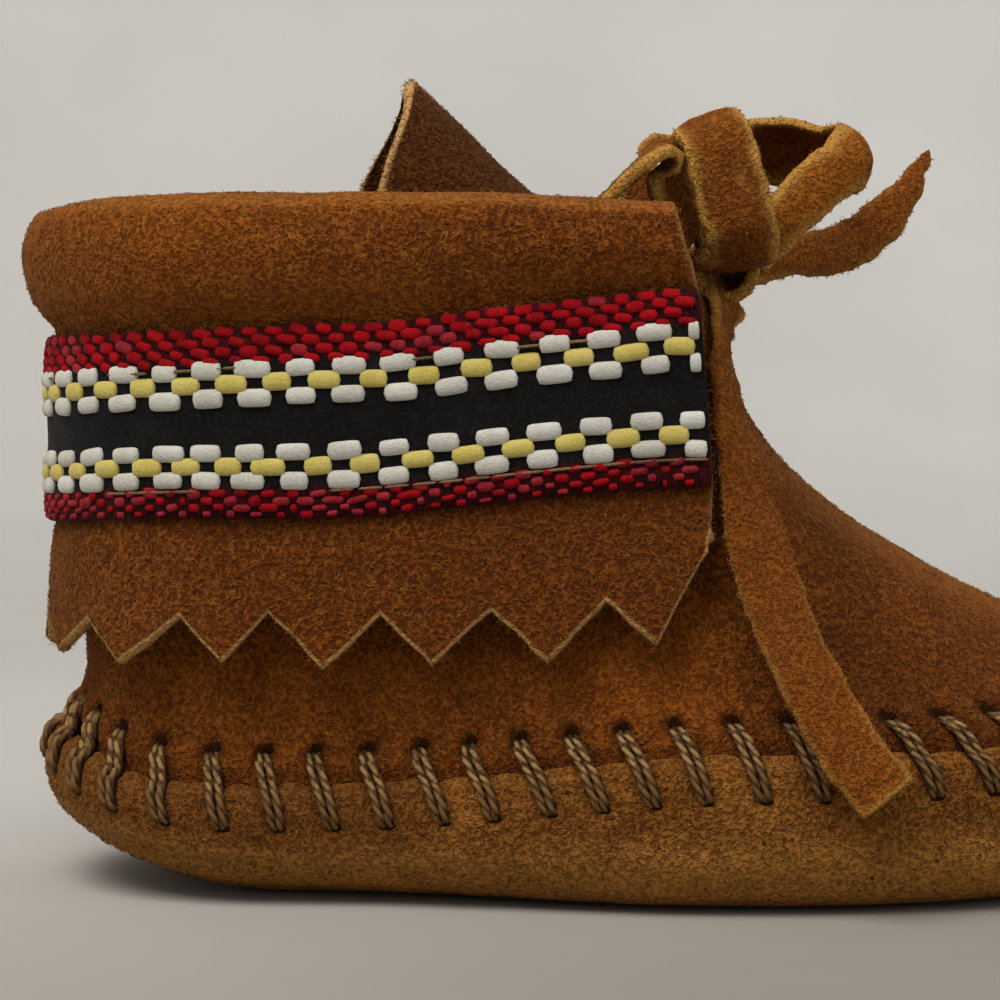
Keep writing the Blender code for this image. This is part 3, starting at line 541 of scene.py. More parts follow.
def suede(name, deep, body, warm, fleck, cut, grain=1.0, patch=0.5, sheen=0.08, fleck_share=1.0):
    """Brushed suede: a dark ground, soft patches where the nap lies either way, short curled pale fibres over it,
    pores, and paler cut edges. The marks raw, tone, dark and a highlight mark come from the mesh. The highlight
    mark is a painted highlight where a surface faces up, and on the sole painted light from the floor; dark is
    painted shade in holes, along the seam, by the tape's edges and beside the thong's tail, and darkens a few places
    more."""
    n = Nodes(name)
    broad, _ = n.noise(75, 3, 0.55)
    blotch, curl = n.noise(430 * grain, 3, 0.6)
    fine, _ = n.noise(2600 * grain, 1.5, 0.6)
    bent = n.moved(n.place, curl, 0.0010 / grain)
    first, _ = n.noise(1950 * grain, 0.6, 0.5, at=bent)
    tufts, _ = n.noise(2250 * grain, 1.2, 0.55, at=bent)
    gaps, _ = n.noise(1500 * grain, 2.0, 0.6)

    def worm(value, wide):
        """A fibre wherever the noise crosses its middle."""
        away = n.math("ABSOLUTE", n.math("SUBTRACT", value, 0.5))
        return n.ramp(away, wide, wide * 0.15)

    tuft = n.ramp(tufts, 0.38, 0.62)
    strand = n.math("MULTIPLY", worm(first, 0.10), n.ramp(gaps, 0.36, 0.60))
    tone = n.math("ADD", n.math("MULTIPLY", n.ramp(broad, 0.30, 0.70, "LINEAR"), patch), n.mark("tone"))
    tone = n.math("ADD", tone, n.math("MULTIPLY", n.math("SUBTRACT", blotch, 0.5), 0.9))
    ground = n.mix(n.math("MULTIPLY_ADD", tuft, 0.62, n.math("MULTIPLY", n.ramp(fine, 0.3, 0.7), 0.38)), deep, body)
    ground = n.mix(n.math("MULTIPLY", n.ramp(tone, 0.05, 0.95), n.math("MULTIPLY_ADD", tuft, 0.6, 0.4)), ground, warm)
    lit = n.math("MULTIPLY", n.math("MAXIMUM", strand, n.math("MULTIPLY", n.ramp(tufts, 0.56, 0.78), 0.7)),
                 n.math("MULTIPLY_ADD", n.ramp(tone, -0.2, 0.9), 0.40 * fleck_share, 0.34 * fleck_share))
    shade = n.mix(lit, ground, fleck)
    # painted highlight: where the mesh's highlight mark is set, the colour goes towards the pale fleck
    painted_light = n.math("MULTIPLY", n.mark("painted_light"), n.math("MULTIPLY_ADD", tuft, 0.45, 0.30))
    shade = n.mix(painted_light, shade, fleck)
    raw = n.mark("raw")
    edge = n.mix(n.ramp(fine, 0.3, 0.7), [c * 0.62 for c in cut[:3]] + [1], cut)
    shade = n.mix(n.math("MULTIPLY", raw, 0.92, clamp=True), shade, edge)
    # painted shade: the mark dark takes the colour towards near black
    shade = n.mix(n.mark("dark"), shade, [c * 0.16 for c in deep[:3]] + [1])
    relief = n.math("MULTIPLY_ADD", strand, 0.35, n.math("MULTIPLY_ADD", fine, 0.35, n.math("MULTIPLY", tuft, 0.6)))
    normal = n.bump(relief, 0.00020, 1.0)
    return n.surface(shade, 0.96, normal, sheen, colour(255, 200, 120), 0.45, 0.08)


SUEDE_UPPER = suede(
    "suede_upper", colour(58, 27, 6), colour(100, 50, 11), colour(124, 64, 14), colour(144, 84, 28), colour(160, 110, 56),
    sheen=0.04,
)
SUEDE_CUFF = suede(
    "suede_cuff", colour(60, 27, 6), colour(99, 47, 10), colour(120, 62, 15), colour(150, 92, 34), colour(204, 158, 96)
)
SUEDE_SOLE = suede(
    "suede_sole", colour(70, 40, 14), colour(122, 71, 24), colour(144, 92, 34), colour(166, 114, 52), colour(160, 114, 60)
)
SUEDE_THONG = suede(
    "suede_thong", colour(82, 40, 10), colour(116, 60, 15), colour(140, 80, 20), colour(158, 100, 36), colour(190, 140, 66),
    grain=1.1, patch=0.35,
)
SUEDE_LINING = suede(
    "suede_lining", colour(40, 22, 9), colour(84, 48, 18), colour(104, 64, 28), colour(132, 90, 48), colour(160, 118, 72),
    grain=1.1, patch=0.3,
)
SUEDE_TONGUE = suede(
    "suede_tongue", colour(38, 17, 5), colour(70, 33, 9), colour(86, 44, 13), colour(110, 64, 24), colour(206, 164, 104),
    grain=1.0,
)


def nap(name, shade, sheen=0.02):
    """One tone of loose suede fibres."""
    n = Nodes(name)
    wave, _ = n.noise(900, 2)
    return n.surface(n.mix(n.ramp(wave, 0.3, 0.7), [c * 0.72 for c in shade[:3]] + [1], shade), 0.95, None, sheen,
                     colour(255, 220, 170), 0.4, 0.1)


NAPS = [
    nap("nap_dark", colour(80, 37, 9)),
    nap("nap_mid", colour(104, 54, 14)),
    nap("nap_gold", colour(130, 76, 24)),
    nap("nap_pale", colour(158, 104, 42)),
    nap("nap_straw", colour(186, 136, 62)),
]


def cloth():
    """The tape's ground: black ribbed cotton with red borders, by the marks along and across, in mm."""
    n = Nodes("braid_ground")
    along, across = n.mark("along"), n.mark("across")
    rib = n.math("SINE", n.math("MULTIPLY", along, 2 * math.pi / 0.55))
    pick = n.math("SINE", n.math("MULTIPLY", across, 2 * math.pi / 0.42))
    weave = n.math("MULTIPLY", rib, pick)
    fuzz, _ = n.noise(2400, 3, 0.65)
    patch, _ = n.noise(160, 3, 0.6)
    black = n.mix(n.ramp(n.math("ADD", n.math("MULTIPLY", weave, 0.10), fuzz), 0.35, 0.95), colour(11, 11, 11), colour(34, 34, 33))
    black = n.mix(n.math("MULTIPLY", n.ramp(patch, 0.5, 0.75), 0.35), black, colour(45, 43, 40))
    red = n.mix(n.ramp(fuzz, 0.35, 0.7), colour(26, 6, 8), colour(70, 8, 14))
    shade = n.mix(n.mark("red"), black, red)
    normal = n.bump(n.math("ADD", n.math("MULTIPLY", weave, 0.15), fuzz), 0.00010, 0.8)
    return n.surface(shade, 0.95, normal, 0.05, colour(200, 200, 200), 0.5, 0.1)


def yarn(name, dark, light, low=0.3, high=0.7, sheen=0.2, pitch=0.45, level=0.25):
    """Cotton yarn: fine fibres along it, with a little dirt."""
    n = Nodes(name)
    fuzz, curl = n.noise(2600, 3, 0.65)
    spin = n.moved(n.place, curl, 0.0003)
    lines, _ = n.noise(5200, 2, 0.6, at=spin)
    dirt, _ = n.noise(260, 3, 0.6)
    shade = n.mix(n.ramp(n.math("MULTIPLY_ADD", lines, 0.5, n.math("MULTIPLY", dirt, 0.5)), low, high), dark, light)
    shade = n.mix(n.mark("dark"), shade, [c * 0.25 for c in dark[:3]] + [1])
    normal = n.bump(n.math("ADD", fuzz, lines), 0.00008, 0.8)
    return n.surface(shade, 0.85, normal, sheen, (1, 1, 1, 1), 0.4, level)


YARN_WHITE = yarn("yarn_white", colour(170, 166, 153), colour(200, 199, 190))
YARN_YELLOW = yarn("yarn_yellow", colour(174, 156, 72), colour(199, 184, 103))
YARN_RED = yarn("yarn_red", colour(84, 5, 10), colour(168, 10, 20), sheen=0.02, level=0.08)
YARN_PINK = yarn("yarn_pink", colour(100, 16, 24), colour(160, 44, 52), sheen=0.02, level=0.08)
YARN_TAN = yarn("yarn_tan", colour(78, 54, 32), colour(142, 104, 66))


def waxed():
    """Waxed sewing twine: brown, with painted cream highlights where the crowns of its plies face out, a duller colour
    along its lower part (mark dull), and painted shade on its ends inside the holes (mark dark).
    """
    n = Nodes("waxed_twine")
    fuzz, curl = n.noise(2200, 3, 0.65)
    streak, _ = n.noise(1400, 2, 0.5, at=n.moved(n.place, curl, 0.0002))
    crown = n.mark("crown")
    # painted highlight: cream where each ply's crown faces out, broken up by streaks
    shine = n.math("MULTIPLY_ADD", streak, 0.55, n.math("MULTIPLY", crown, 0.7))
    brighter_part = n.mix(n.ramp(shine, 0.76, 1.0), n.mix(n.ramp(fuzz, 0.35, 0.65), colour(46, 26, 10), colour(90, 60, 27)), colour(145, 114, 70))
    # the colour along the twine's lower part, duller
    duller_part = n.mix(n.ramp(shine, 0.5, 1.1), colour(52, 31, 13), colour(116, 84, 44))
    shade = n.mix(n.mark("dull"), brighter_part, duller_part)
    # painted shade on the ends of each stitch, where the twine goes into its holes
    shade = n.mix(n.mark("dark"), shade, colour(20, 11, 5))
    normal = n.bump(n.math("ADD", fuzz, streak), 0.00006, 0.7)
    return n.surface(shade, 0.75, normal, 0.0, (1, 1, 1, 1), 0.4, 0.18)


TWINE = waxed()
# dark discs that paint the shade inside the stitch holes
n = Nodes("stitch_hole")
hole_shade_mottle, _ = n.noise(2000, 2)
HOLE = n.surface(n.mix(hole_shade_mottle, colour(22, 11, 5), colour(46, 25, 10)), 1.0, None, 0, (1, 1, 1, 1), 0.5, 0.0)
BRAID_GROUND = cloth()


# ---------------------------------------------------------------- sheets, bands and small repeated shapes
def recalculated(obj, weld=False):
    """Faces of a closed mesh turned to agree and to face out."""
    bm = bmesh.new()
    bm.from_mesh(obj.data)
    if weld:
        bmesh.ops.remove_doubles(bm, verts=bm.verts, dist=2e-6)
        bmesh.ops.dissolve_degenerate(bm, edges=bm.edges, dist=1e-7)
    bmesh.ops.recalc_face_normals(bm, faces=bm.faces)
    bm.to_mesh(obj.data)
    bm.free()
    return outward(obj)


def panel(name, face, back, mats, closed=False, bulge=0.30, bend=3, marks=None, rims=None, sharp=None, weld=False):
    """A closed sheet from the grids of its face and back, with a rounded cut edge right round it, or round its top
    and foot where its columns close. marks are grids of numbers for both faces. Cut edges carry the mark raw."""
    n_r, n_c = face.shape[:2]
    total = n_r * n_c
    points = [face.reshape(-1, 3), back.reshape(-1, 3)]
    quads = [loft((n_r, n_c), False, closed), loft((n_r, n_c), False, closed, flip=True) + total]
    out_r = np.zeros_like(face)
    out_r[0] = unit(face[0] - face[1])
    out_r[-1] = unit(face[-1] - face[-2])
    out_c = np.zeros_like(face)
    if not closed:
        out_c[:, 0] = unit(face[:, 0] - face[:, 1])
        out_c[:, -1] = unit(face[:, -1] - face[:, -2])
    out = unit(out_r + out_c).reshape(-1, 3)
    index = np.arange(total).reshape(n_r, n_c)
    if closed:
        loops = [index[0], index[-1]]
    else:
        loops = [np.concatenate([index[0, :-1], index[:-1, -1], index[-1, :0:-1], index[:0:-1, 0]])]
    if rims is not None:
        loops = [loop for loop, keep in zip(loops, rims) if keep]
    count, raw = 2 * total, np.zeros(2 * total)
    f, b = points[0], points[1]
    for loop in loops:
        rings = [loop]
        gap = b[loop] - f[loop]
        wall = np.linalg.norm(gap, axis=1, keepdims=True)
        for k in range(1, bend + 1):
            a = np.pi * k / (bend + 1)
            points.append(f[loop] + gap * (1 - math.cos(a)) / 2 + out[loop] * wall * bulge * math.sin(a))
            rings.append(count + np.arange(len(loop)))
            count += len(loop)
            raw = np.concatenate([raw, np.ones(len(loop))])
        rings.append(loop + total)
        raw[loop], raw[loop + total] = 0.75, 0.75
        for one, two in zip(rings, rings[1:]):
            quads.append(np.stack([one, np.roll(one, -1), np.roll(two, -1), two], axis=1))
    values = {"raw": raw}
    for key, grid in (marks or {}).items():
        grids = grid if isinstance(grid, tuple) else (grid, grid)
        flat = np.concatenate([g.ravel() for g in grids])
        rest = [flat[loop] for loop in loops for _ in range(bend)]
        values[key] = np.concatenate([flat, *rest])
    if "raw_extra" in values:
        values["raw"] = np.clip(values["raw"] + values.pop("raw_extra"), 0, 1)
    return recalculated(make(name, np.concatenate(points), quads, mats, marks=values, sharp=sharp), weld)


def tubes(lines, across, radius, sides, name, mats, face_mats=None, marks=None):
    """Closed round tubes along many lines at once. lines is (n, rings, 3), across a direction (n, 1 or rings, 3) that
    the lines never run along, radius (n or 1, rings), and marks grids (n, rings, sides)."""
    n, rings = lines.shape[:2]
    tangent = unit(np.gradient(lines, axis=1))
    side = unit(across - tangent * (across * tangent).sum(-1, keepdims=True))
    up = np.cross(tangent, side)
    a = np.arange(sides) * 2 * np.pi / sides
    r = np.broadcast_to(radius, (n, rings))[:, :, None, None]
    points = lines[:, :, None] + r * (np.cos(a)[:, None] * side[:, :, None] + np.sin(a)[:, None] * up[:, :, None])
    quads = loft((rings, sides), False, True)
    shift = (np.arange(n) * rings * sides)[:, None]
    caps = [shift + np.arange(sides)[::-1], shift + (rings - 1) * sides + np.arange(sides)]
    body = (quads[None] + shift[:, :, None]).reshape(-1, 4)
    mats_of = None
    if face_mats is not None:
        mats_of = np.concatenate([np.repeat(face_mats, len(quads)), face_mats, face_mats])
    return outward(make(name, points, [body, *caps], mats, mats_of, marks))


def grains(name, at, along, across, out, size, mats, face_mats=None, rings=6, sides=6, marks=None, square=1.5):
    """Many closed pillows, such as floats of yarn: at and the three directions are (n, 3) and size is (n, 3), the half
    length, half width and height of each."""
    n = len(at)
    t = np.linspace(-1, 1, rings + 2)[1:-1]
    t = np.sign(t) * np.abs(t) ** 0.85
    fat = np.maximum(1 - np.abs(t) ** (square * 2), 0) ** (1 / (square * 2))
    a = np.arange(sides) * 2 * np.pi / sides
    ring = (
        at[:, None, None]
        + (size[:, 0, None, None] * t[None, :, None])[..., None] * along[:, None, None]
        + (size[:, 1, None, None] * fat[None, :, None] * np.cos(a)[None, None])[..., None] * across[:, None, None]
        + (size[:, 2, None, None] * (fat[None, :, None] * np.sin(a)[None, None]))[..., None] * out[:, None, None]
    )
    poles = at[:, None] + np.stack([-along, along], axis=1) * size[:, 0, None, None] * 1.0
    points = np.concatenate([ring.reshape(n, -1, 3), poles], axis=1)
    each = rings * sides + 2
    k = np.arange(sides)
    quads = loft((rings, sides), False, True)
    first = np.stack([np.full(sides, rings * sides), (k + 1) % sides, k], axis=1)
    last = np.stack([np.full(sides, rings * sides + 1), (rings - 1) * sides + k, (rings - 1) * sides + (k + 1) % sides], axis=1)
    shift = (np.arange(n) * each)[:, None, None]
    faces = [(quads[None] + shift).reshape(-1, 4), (first[None] + shift).reshape(-1, 3), (last[None] + shift).reshape(-1, 3)]
    mats_of = None
    if face_mats is not None:
        mats_of = np.concatenate([np.repeat(face_mats, len(q)) for q in (quads, first, last)])
    values = {key: np.repeat(v, each) for key, v in (marks or {}).items()}
    return outward(make(name, points, faces, mats, mats_of, values))


def spikes(name, at, out, lay, size, mats, kinds, bent=None):
    """Many loose fibres, each a closed three-sided spike: at, out and lay (the way it lies) are (n, 3), size (n, 2) its
    length and its thickness. Bent ones have two parts: bent is how far the first rises and reaches, and how far the
    second hooks sideways, as shares of the length."""
    n = len(at)
    side = unit(np.cross(out, lay))
    lie = unit(lay)
    length, fat = size[:, :1], size[:, 1:]
    a = np.arange(3) * 2 * np.pi / 3
    base = at - out * fat * 0.4
    foot = [base + fat * (math.cos(x) * lie + math.sin(x) * side) for x in a]
    if bent:
        rise, reach, hook = bent
        curl = np.where(np.arange(n)[:, None] % 2, 1.0, -1.0)
        middle = at + out * length * rise + lie * length * reach + side * length * hook * 0.35 * curl
        waist = [middle + fat * 0.8 * (math.cos(x) * out + math.sin(x) * side) for x in a]
        tip = middle + lie * length * (0.85 - reach) + out * length * (0.1 - rise * 0.3) - side * length * hook * curl
        points = np.stack([*foot, *waist, tip], axis=1)
        tri = np.array([(0, 2, 1), (3, 4, 6), (4, 5, 6), (5, 3, 6)])
        quad = np.array([(0, 1, 4, 3), (1, 2, 5, 4), (2, 0, 3, 5)])
        shift = (np.arange(n) * 7)[:, None, None]
        faces = [(tri[None] + shift).reshape(-1, 3), (quad[None] + shift).reshape(-1, 4)]
        mats_of = np.concatenate([np.repeat(kinds, 4), np.repeat(kinds, 3)])
    else:
        tip = at + lie * length
        points = np.stack([*foot, tip], axis=1)
        tri = np.array([(0, 2, 1), (0, 1, 3), (1, 2, 3), (2, 0, 3)])
        shift = (np.arange(n) * 4)[:, None, None]
        faces = [(tri[None] + shift).reshape(-1, 3)]
        mats_of = np.repeat(kinds, 4)
    return outward(make(name, points, faces, mats, mats_of))


def sampled(face, normal, count, keep=None):
    """Points and normals spread evenly over a grid of points, seeded. keep weighs the grid's points, 0 to 1."""
    a = np.linalg.norm(np.diff(face, axis=0)[:, :-1], axis=-1) * np.linalg.norm(np.diff(face, axis=1)[:-1], axis=-1)
    if keep is not None:
        a = a * keep[:-1, :-1]
    share = np.cumsum(a.ravel()) / a.sum()
    cell = np.searchsorted(share, RNG.random(count))
    i, j = np.unravel_index(np.minimum(cell, a.size - 1), a.shape)
    u, w = RNG.random((2, count))
    return blended(face, i + u, j + w), unit(blended(normal, i + u, j + w))


def blended(grid, row, col):
    """Values of a grid between its points."""
    i = np.clip(np.floor(row).astype(int), 0, grid.shape[0] - 2)
    j = np.clip(np.floor(col).astype(int), 0, grid.shape[1] - 2)
    u, w = (row - i)[..., None], (col - j)[..., None]
    return (
        grid[i, j] * (1 - u) * (1 - w) + grid[i + 1, j] * u * (1 - w) + grid[i, j + 1] * (1 - u) * w + grid[i + 1, j + 1] * u * w
    )


def fuzz(name, face, normal, per_mm2, length=0.55, fat=0.05, keep=None, slot="suede", stand=0.02, weights=(0.25, 0.45, 0.25, 0.05), most=19500):
    """The nap of a suede face as loose fibres, each lying its own way. The way the nap was brushed changes slowly."""
    d = np.linalg.norm(np.diff(face, axis=0)[:, :-1], axis=-1) * np.linalg.norm(np.diff(face, axis=1)[:-1], axis=-1)
    if keep is not None:
        d = d * keep[:-1, :-1]
    count = int(min(d.sum() * per_mm2, most))
    at, out = sampled(face, normal, count, keep)
    swirl = noise(at, 2.2, 5, 2) * 4.5 + noise(at, 0.5, 9) * 2.2 + RNG.normal(0, 0.5, count)
    other = np.where(np.abs(out[:, 2:]) < 0.8, np.array([[0, 0, 1.0]]), np.array([[1.0, 0, 0]]))
    one = unit(np.cross(out, other))
    two = np.cross(out, one)
    lay = one * np.cos(swirl)[:, None] + two * np.sin(swirl)[:, None]
    lay = unit(lay + out * (stand * (0.5 + RNG.random(count)))[:, None])
    size = np.stack([length * (0.5 + 0.9 * RNG.random(count)), fat * (0.6 + 0.8 * RNG.random(count))], axis=1)
    # fibres on faces that look up take paler tones: painted light on the tops, over a slow random tone
    tone_and_top_light = noise(at, 6.0, 3, 2) * 0.5 + noise(at, 1.0, 13) * 0.35 + 0.9 * smooth(0.55, 0.95, out[:, 2])
    kinds = np.searchsorted(np.cumsum(weights)[:-1], np.clip(RNG.random(count) + tone_and_top_light * 0.55, 0, 0.9999))
    obj = spikes(name, at, out, lay, size, NAPS, kinds, bent=(0.13, 0.45, 0.4))
    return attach(obj, "root")


# ---------------------------------------------------------------- thongs
Wide = namedtuple("Wide", "at wide cup thin gold light", defaults=(0.0, 1.0, 0.6, 0.0))


def route(turns, step):
    """Points about step apart on the smooth curve through the turns, and the strip's face there."""
    t = np.array([tuple(x) for x in turns], float)
    run = run_of(t[:, :3])
    tang = np.empty_like(t)
    tang[1:-1] = (t[2:] - t[:-2]) / (run[2:] - run[:-2])[:, None]
    tang[0], tang[-1] = (t[1] - t[0]) / run[1], (t[-1] - t[-2]) / (run[-1] - run[-2])
    d = np.linspace(0, run[-1], 2000)
    for _ in range(2):
        i = np.clip(np.searchsorted(run, d, side="right") - 1, 0, len(run) - 2)
        h = (run[i + 1] - run[i])[:, None]
        f = ((d - run[i])[:, None]) / h
        v = (
            (2 * f**3 - 3 * f**2 + 1) * t[i] + (f**3 - 2 * f**2 + f) * h * tang[i]
            + (3 * f**2 - 2 * f**3) * t[i + 1] + (f**3 - f**2) * h * tang[i + 1]
        )
        real = run_of(v[:, :3])
        d = np.interp(np.linspace(0, real[-1], max(8, round(real[-1] / step))), real, d)
    return v[:, :3], unit(v[:, 3:])


def ribbon(turns, widths, thick, cols=9, step=0.45, cup=0.0, wave=0.25, seed=1, tip=0.0):
    """Face and back grids of a flat thong along its route, its line and its length. widths is a table by share of the
    length. cup bows it across, wave wrinkles it and tip narrows its end to a point."""
    line, face = route(turns, step)
    run = run_of(line)
    share = run / run[-1]
    ahead = unit(np.gradient(line, axis=0))
    face = unit(face - ahead * (face * ahead).sum(-1, keepdims=True))
    across = unit(np.cross(ahead, face))
    half = through([w.at for w in widths], [w.wide for w in widths], share) / 2
    if tip:
        half = half * (1 - np.clip((share - 1 + tip) / tip, 0, 1) ** 1.6 * 0.9)
    s = np.linspace(-1, 1, cols)
    grid = line[:, None] + across[:, None] * (half[:, None] * s)[..., None]
    bend, wall = (through([w.at for w in widths], [getattr(w, key) for w in widths], share) for key in ("cup", "thin"))
    bow = (1 - s**2)[None, :] * (cup * half / 2.7 + bend)[:, None]
    lump = noise(grid, 3.2, seed, 2) * wave + noise(grid, 1.1, seed + 7) * wave * 0.35
    ragged = (noise(grid, 1.3, seed + 3, 2) * 0.26 + noise(grid, 0.45, seed + 9) * 0.10) * (np.abs(s) > 0.99) * np.sign(s)
    grid = grid + across[:, None] * ragged[..., None]
    wall = (wall * thick / 2)[:, None]
    out = grid + face[:, None] * (bow + lump + wall)[..., None]
    back = grid + face[:, None] * (bow + lump - wall)[..., None]
    return out, back, line, run[-1], face


def edge_fibres(face, back, count, length=0.55, fat=0.03, sides=("row0", "row1", "col0", "col1"), closed=False):
    """Where fibres stand on the cut edges of a sheet: points and outward directions."""
    picks = {
        "row0": (face[0], back[0], unit(face[0] - face[1])), "row1": (face[-1], back[-1], unit(face[-1] - face[-2])),
        "col0": (face[:, 0], back[:, 0], unit(face[:, 0] - face[:, 1])), "col1": (face[:, -1], back[:, -1], unit(face[:, -1] - face[:, -2])),
    }
    at, out = [], []
    lengths = {k: run_of(picks[k][0])[-1] for k in sides}
    for k in sides:
        f, b, o = picks[k]
        n = int(count * lengths[k] / sum(lengths.values()))
        run = run_of(f)
        d = RNG.random(n) * run[-1]
        i = np.clip(np.searchsorted(run, d) - 1, 0, len(run) - 2)
        u = ((d - run[i]) / (run[i + 1] - run[i]))[:, None]
        pf, pb, po = f[i] * (1 - u) + f[i + 1] * u, b[i] * (1 - u) + b[i + 1] * u, unit(o[i] * (1 - u) + o[i + 1] * u)
        w = RNG.random(n)[:, None]
        wall = np.linalg.norm(pb - pf, axis=1, keepdims=True)
        at.append(pf * (1 - w) + pb * w + po * wall * 0.26 * np.sin(np.pi * w))
        out.append(unit(po + (pf - pb) / wall * (0.5 - w) * 1.2))
    return np.concatenate(at), np.concatenate(out)


def frayed(name, edges, length=0.5, fat=0.03, kinds=(0.05, 0.25, 0.3, 0.25, 0.15)):
    """Curled fibres along cut edges. edges are pairs from edge_fibres."""
    at = np.concatenate([e[0] for e in edges])
    out = np.concatenate([e[1] for e in edges])
    n = len(at)
    lay = unit(RNG.normal(0, 1, (n, 3)))
    lay = unit(lay - out * (lay * out).sum(-1, keepdims=True) + out * 0.15)
    size = np.stack([length * (0.35 + 0.9 * RNG.random(n) ** 2), fat * (0.7 + 0.6 * RNG.random(n))], axis=1)
    kind = np.searchsorted(np.cumsum(kinds)[:-1], RNG.random(n))
    obj = spikes(name, at, out, lay, size, NAPS, kind, bent=(0.42, 0.28, 0.25))
    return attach(obj, "root")


# ---------------------------------------------------------------- the camera, light and floor
EYE = (-11.4, -372.7, 63.6)          # mm
LOOK_DOWN = 4.404                    # degrees
cam_data = bpy.data.cameras.new("Camera")
cam_data.sensor_width = 36
cam_data.lens = 144.9
cam_data.clip_start = 0.01
camera = bpy.data.objects.new("Camera", cam_data)
camera.location = [c * MM for c in EYE]
camera.rotation_euler = (math.radians(90 - LOOK_DOWN), 0, 0)
bpy.context.scene.collection.objects.link(camera)
bpy.context.scene.camera = camera


def lamp(name, at, to, wide, high, watts, tint):
    data = bpy.data.lights.new(name, "AREA")
    data.shape, data.size, data.size_y, data.energy, data.color = "RECTANGLE", wide, high, watts, tint
    obj = bpy.data.objects.new(name, data)
    obj.location = at
    obj.rotation_euler = (Vector(to) - Vector(at)).to_track_quat("-Z", "Y").to_euler()
    bpy.context.scene.collection.objects.link(obj)


lamp("Key", (-0.35, -0.45, 0.95), (0, 0, 0.03), 0.7, 0.7, 11.4, (1.0, 0.965, 0.92))
lamp("Fill", (0.9, -0.5, 0.45), (0, 0, 0.03), 0.8, 0.8, 2.2, (0.93, 0.96, 1.0))
lamp("Rim", (-0.2, 0.75, 0.8), (0, 0, 0.03), 0.9, 0.5, 5.0, (1.0, 0.98, 0.95))
world = bpy.data.worlds.new("Studio")
world.use_nodes = True
world.node_tree.nodes["Background"].inputs["Color"].default_value = (1.0, 0.985, 0.96, 1)
world.node_tree.nodes["Background"].inputs["Strength"].default_value = 0.49
bpy.context.scene.world = world
bpy.context.scene.view_settings.view_transform = "Standard"
bpy.context.scene.view_settings.look = "None"

# A pale sheet that runs along the floor and curves up behind. The mark dusk is how far the light falls off on it.
n = Nodes("backdrop")
pale, _ = n.noise(9, 3, 0.6)
lit = n.mix(n.ramp(pale, 0.3, 0.7), colour(188, 187, 183), colour(196, 195, 192))
BACKDROP = n.surface(n.mix(n.mark("dusk"), lit, colour(138, 132, 124)), 0.95, None, 0, (1, 1, 1, 1), 0.5, 0.1)
sweep = [(y, 0.0) for y in (-1600, -900, -400, -200)] + [(-100 + 12.5 * k, 0.0) for k in range(32)]
sweep += [(300 + 260 * math.sin(a), 260 - 260 * math.cos(a)) for a in np.linspace(0, np.pi / 2, 16)]
sweep += [(560, 260 + 120 * k) for k in range(1, 12)]
floor_rows = np.array([[(x, y, z) for x in (-1500, -500, -150, -80, -40, 0, 40, 80, 150, 500, 1500)] for y, z in sweep])
dusk = np.interp(floor_rows[..., 1], [-60, -20, 10, 80, 300, 600], [0.98, 0.82, 0.62, 0.42, 0.26, 0.0])
dusk = dusk + np.clip(floor_rows[..., 0] / 250, -0.24, 0.2) * smooth(200, 0, floor_rows[..., 1])
dusk = np.clip(dusk - 0.2 * smooth(10, 90, floor_rows[..., 0]) * smooth(60, 220, floor_rows[..., 1]), 0, 1)
floor = make("Backdrop", floor_rows, [loft(floor_rows.shape[:2], False, False)], [BACKDROP], marks={"dusk": dusk.ravel()})
floor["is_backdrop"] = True

# ---------------------------------------------------------------- the thong: crossing, knot and the two cords of the bow
CROSS_WIDE = [
    Wide(0, 4.4, gold=0.7), Wide(0.14, 4.8, gold=0.9), Wide(0.24, 4.8, gold=0.9), Wide(0.34, 4.4, gold=0.4), Wide(0.42, 4.2, gold=-0.6),
    Wide(0.52, 3.4, gold=-0.6),
    Wide(0.65, 4.4, gold=-0.6, light=-0.5), Wide(0.85, 4.6, gold=-0.6, light=-0.6), Wide(1, 4.4, gold=-0.6, light=-0.6),
]
NEAR_WIDE = [
    Wide(0, 3.6, gold=-0.5), Wide(0.06, 4.6, gold=-0.5), Wide(0.13, 5.6, gold=-0.4), Wide(0.19, 5.8, gold=0.5), Wide(0.24, 5.9, gold=0.8), Wide(0.29, 5.9, gold=0.8),
    Wide(0.36, 6.6, gold=1.0), Wide(0.42, 6.8, gold=1.0), Wide(0.46, 4.6),
    Wide(0.50, 2.8, thin=0.8, gold=-0.3), Wide(0.56, 3.4, thin=0.7, gold=-1.0), Wide(0.62, 3.9, thin=0.65, gold=-1.0),
    Wide(0.68, 4.7, thin=0.62, gold=-0.9, light=-0.45), Wide(0.76, 5.4, thin=0.65, gold=-0.75, light=-0.4), Wide(0.86, 5.2, thin=0.7, gold=-0.55, light=-0.3),
    Wide(0.94, 5.3, thin=0.75, gold=-0.5, light=0.1), Wide(1, 5.3, thin=0.8, gold=-0.3, light=0.2),
]
FAR_WIDE = [
    Wide(0, 3.4, gold=0.2), Wide(0.10, 5.6, 0.2, gold=0.3), Wide(0.18, 7.0, 0.7, gold=0.5), Wide(0.26, 7.2, 1.1, gold=0.6),
    Wide(0.36, 6.0, 0.9, gold=0.5, light=0.3), Wide(0.42, 4.6, 0.2, gold=0.5, light=1.0), Wide(0.48, 4.4, 0.1, gold=0.4, light=0.8),
    Wide(0.55, 4.2, 0.0, gold=0.35), Wide(0.62, 3.3, 0.0, 0.85, -0.4), Wide(0.68, 3.2, 0.0, 0.7, -0.6), Wide(0.75, 3.8, 0.1, 0.7, -0.6),
    Wide(0.86, 4.2, 0.1, 0.7, -0.6), Wide(1, 4.1, 0.1, 0.65, -0.6),
]
Ring = namedtuple("Ring", "turn_deg radius y wide")
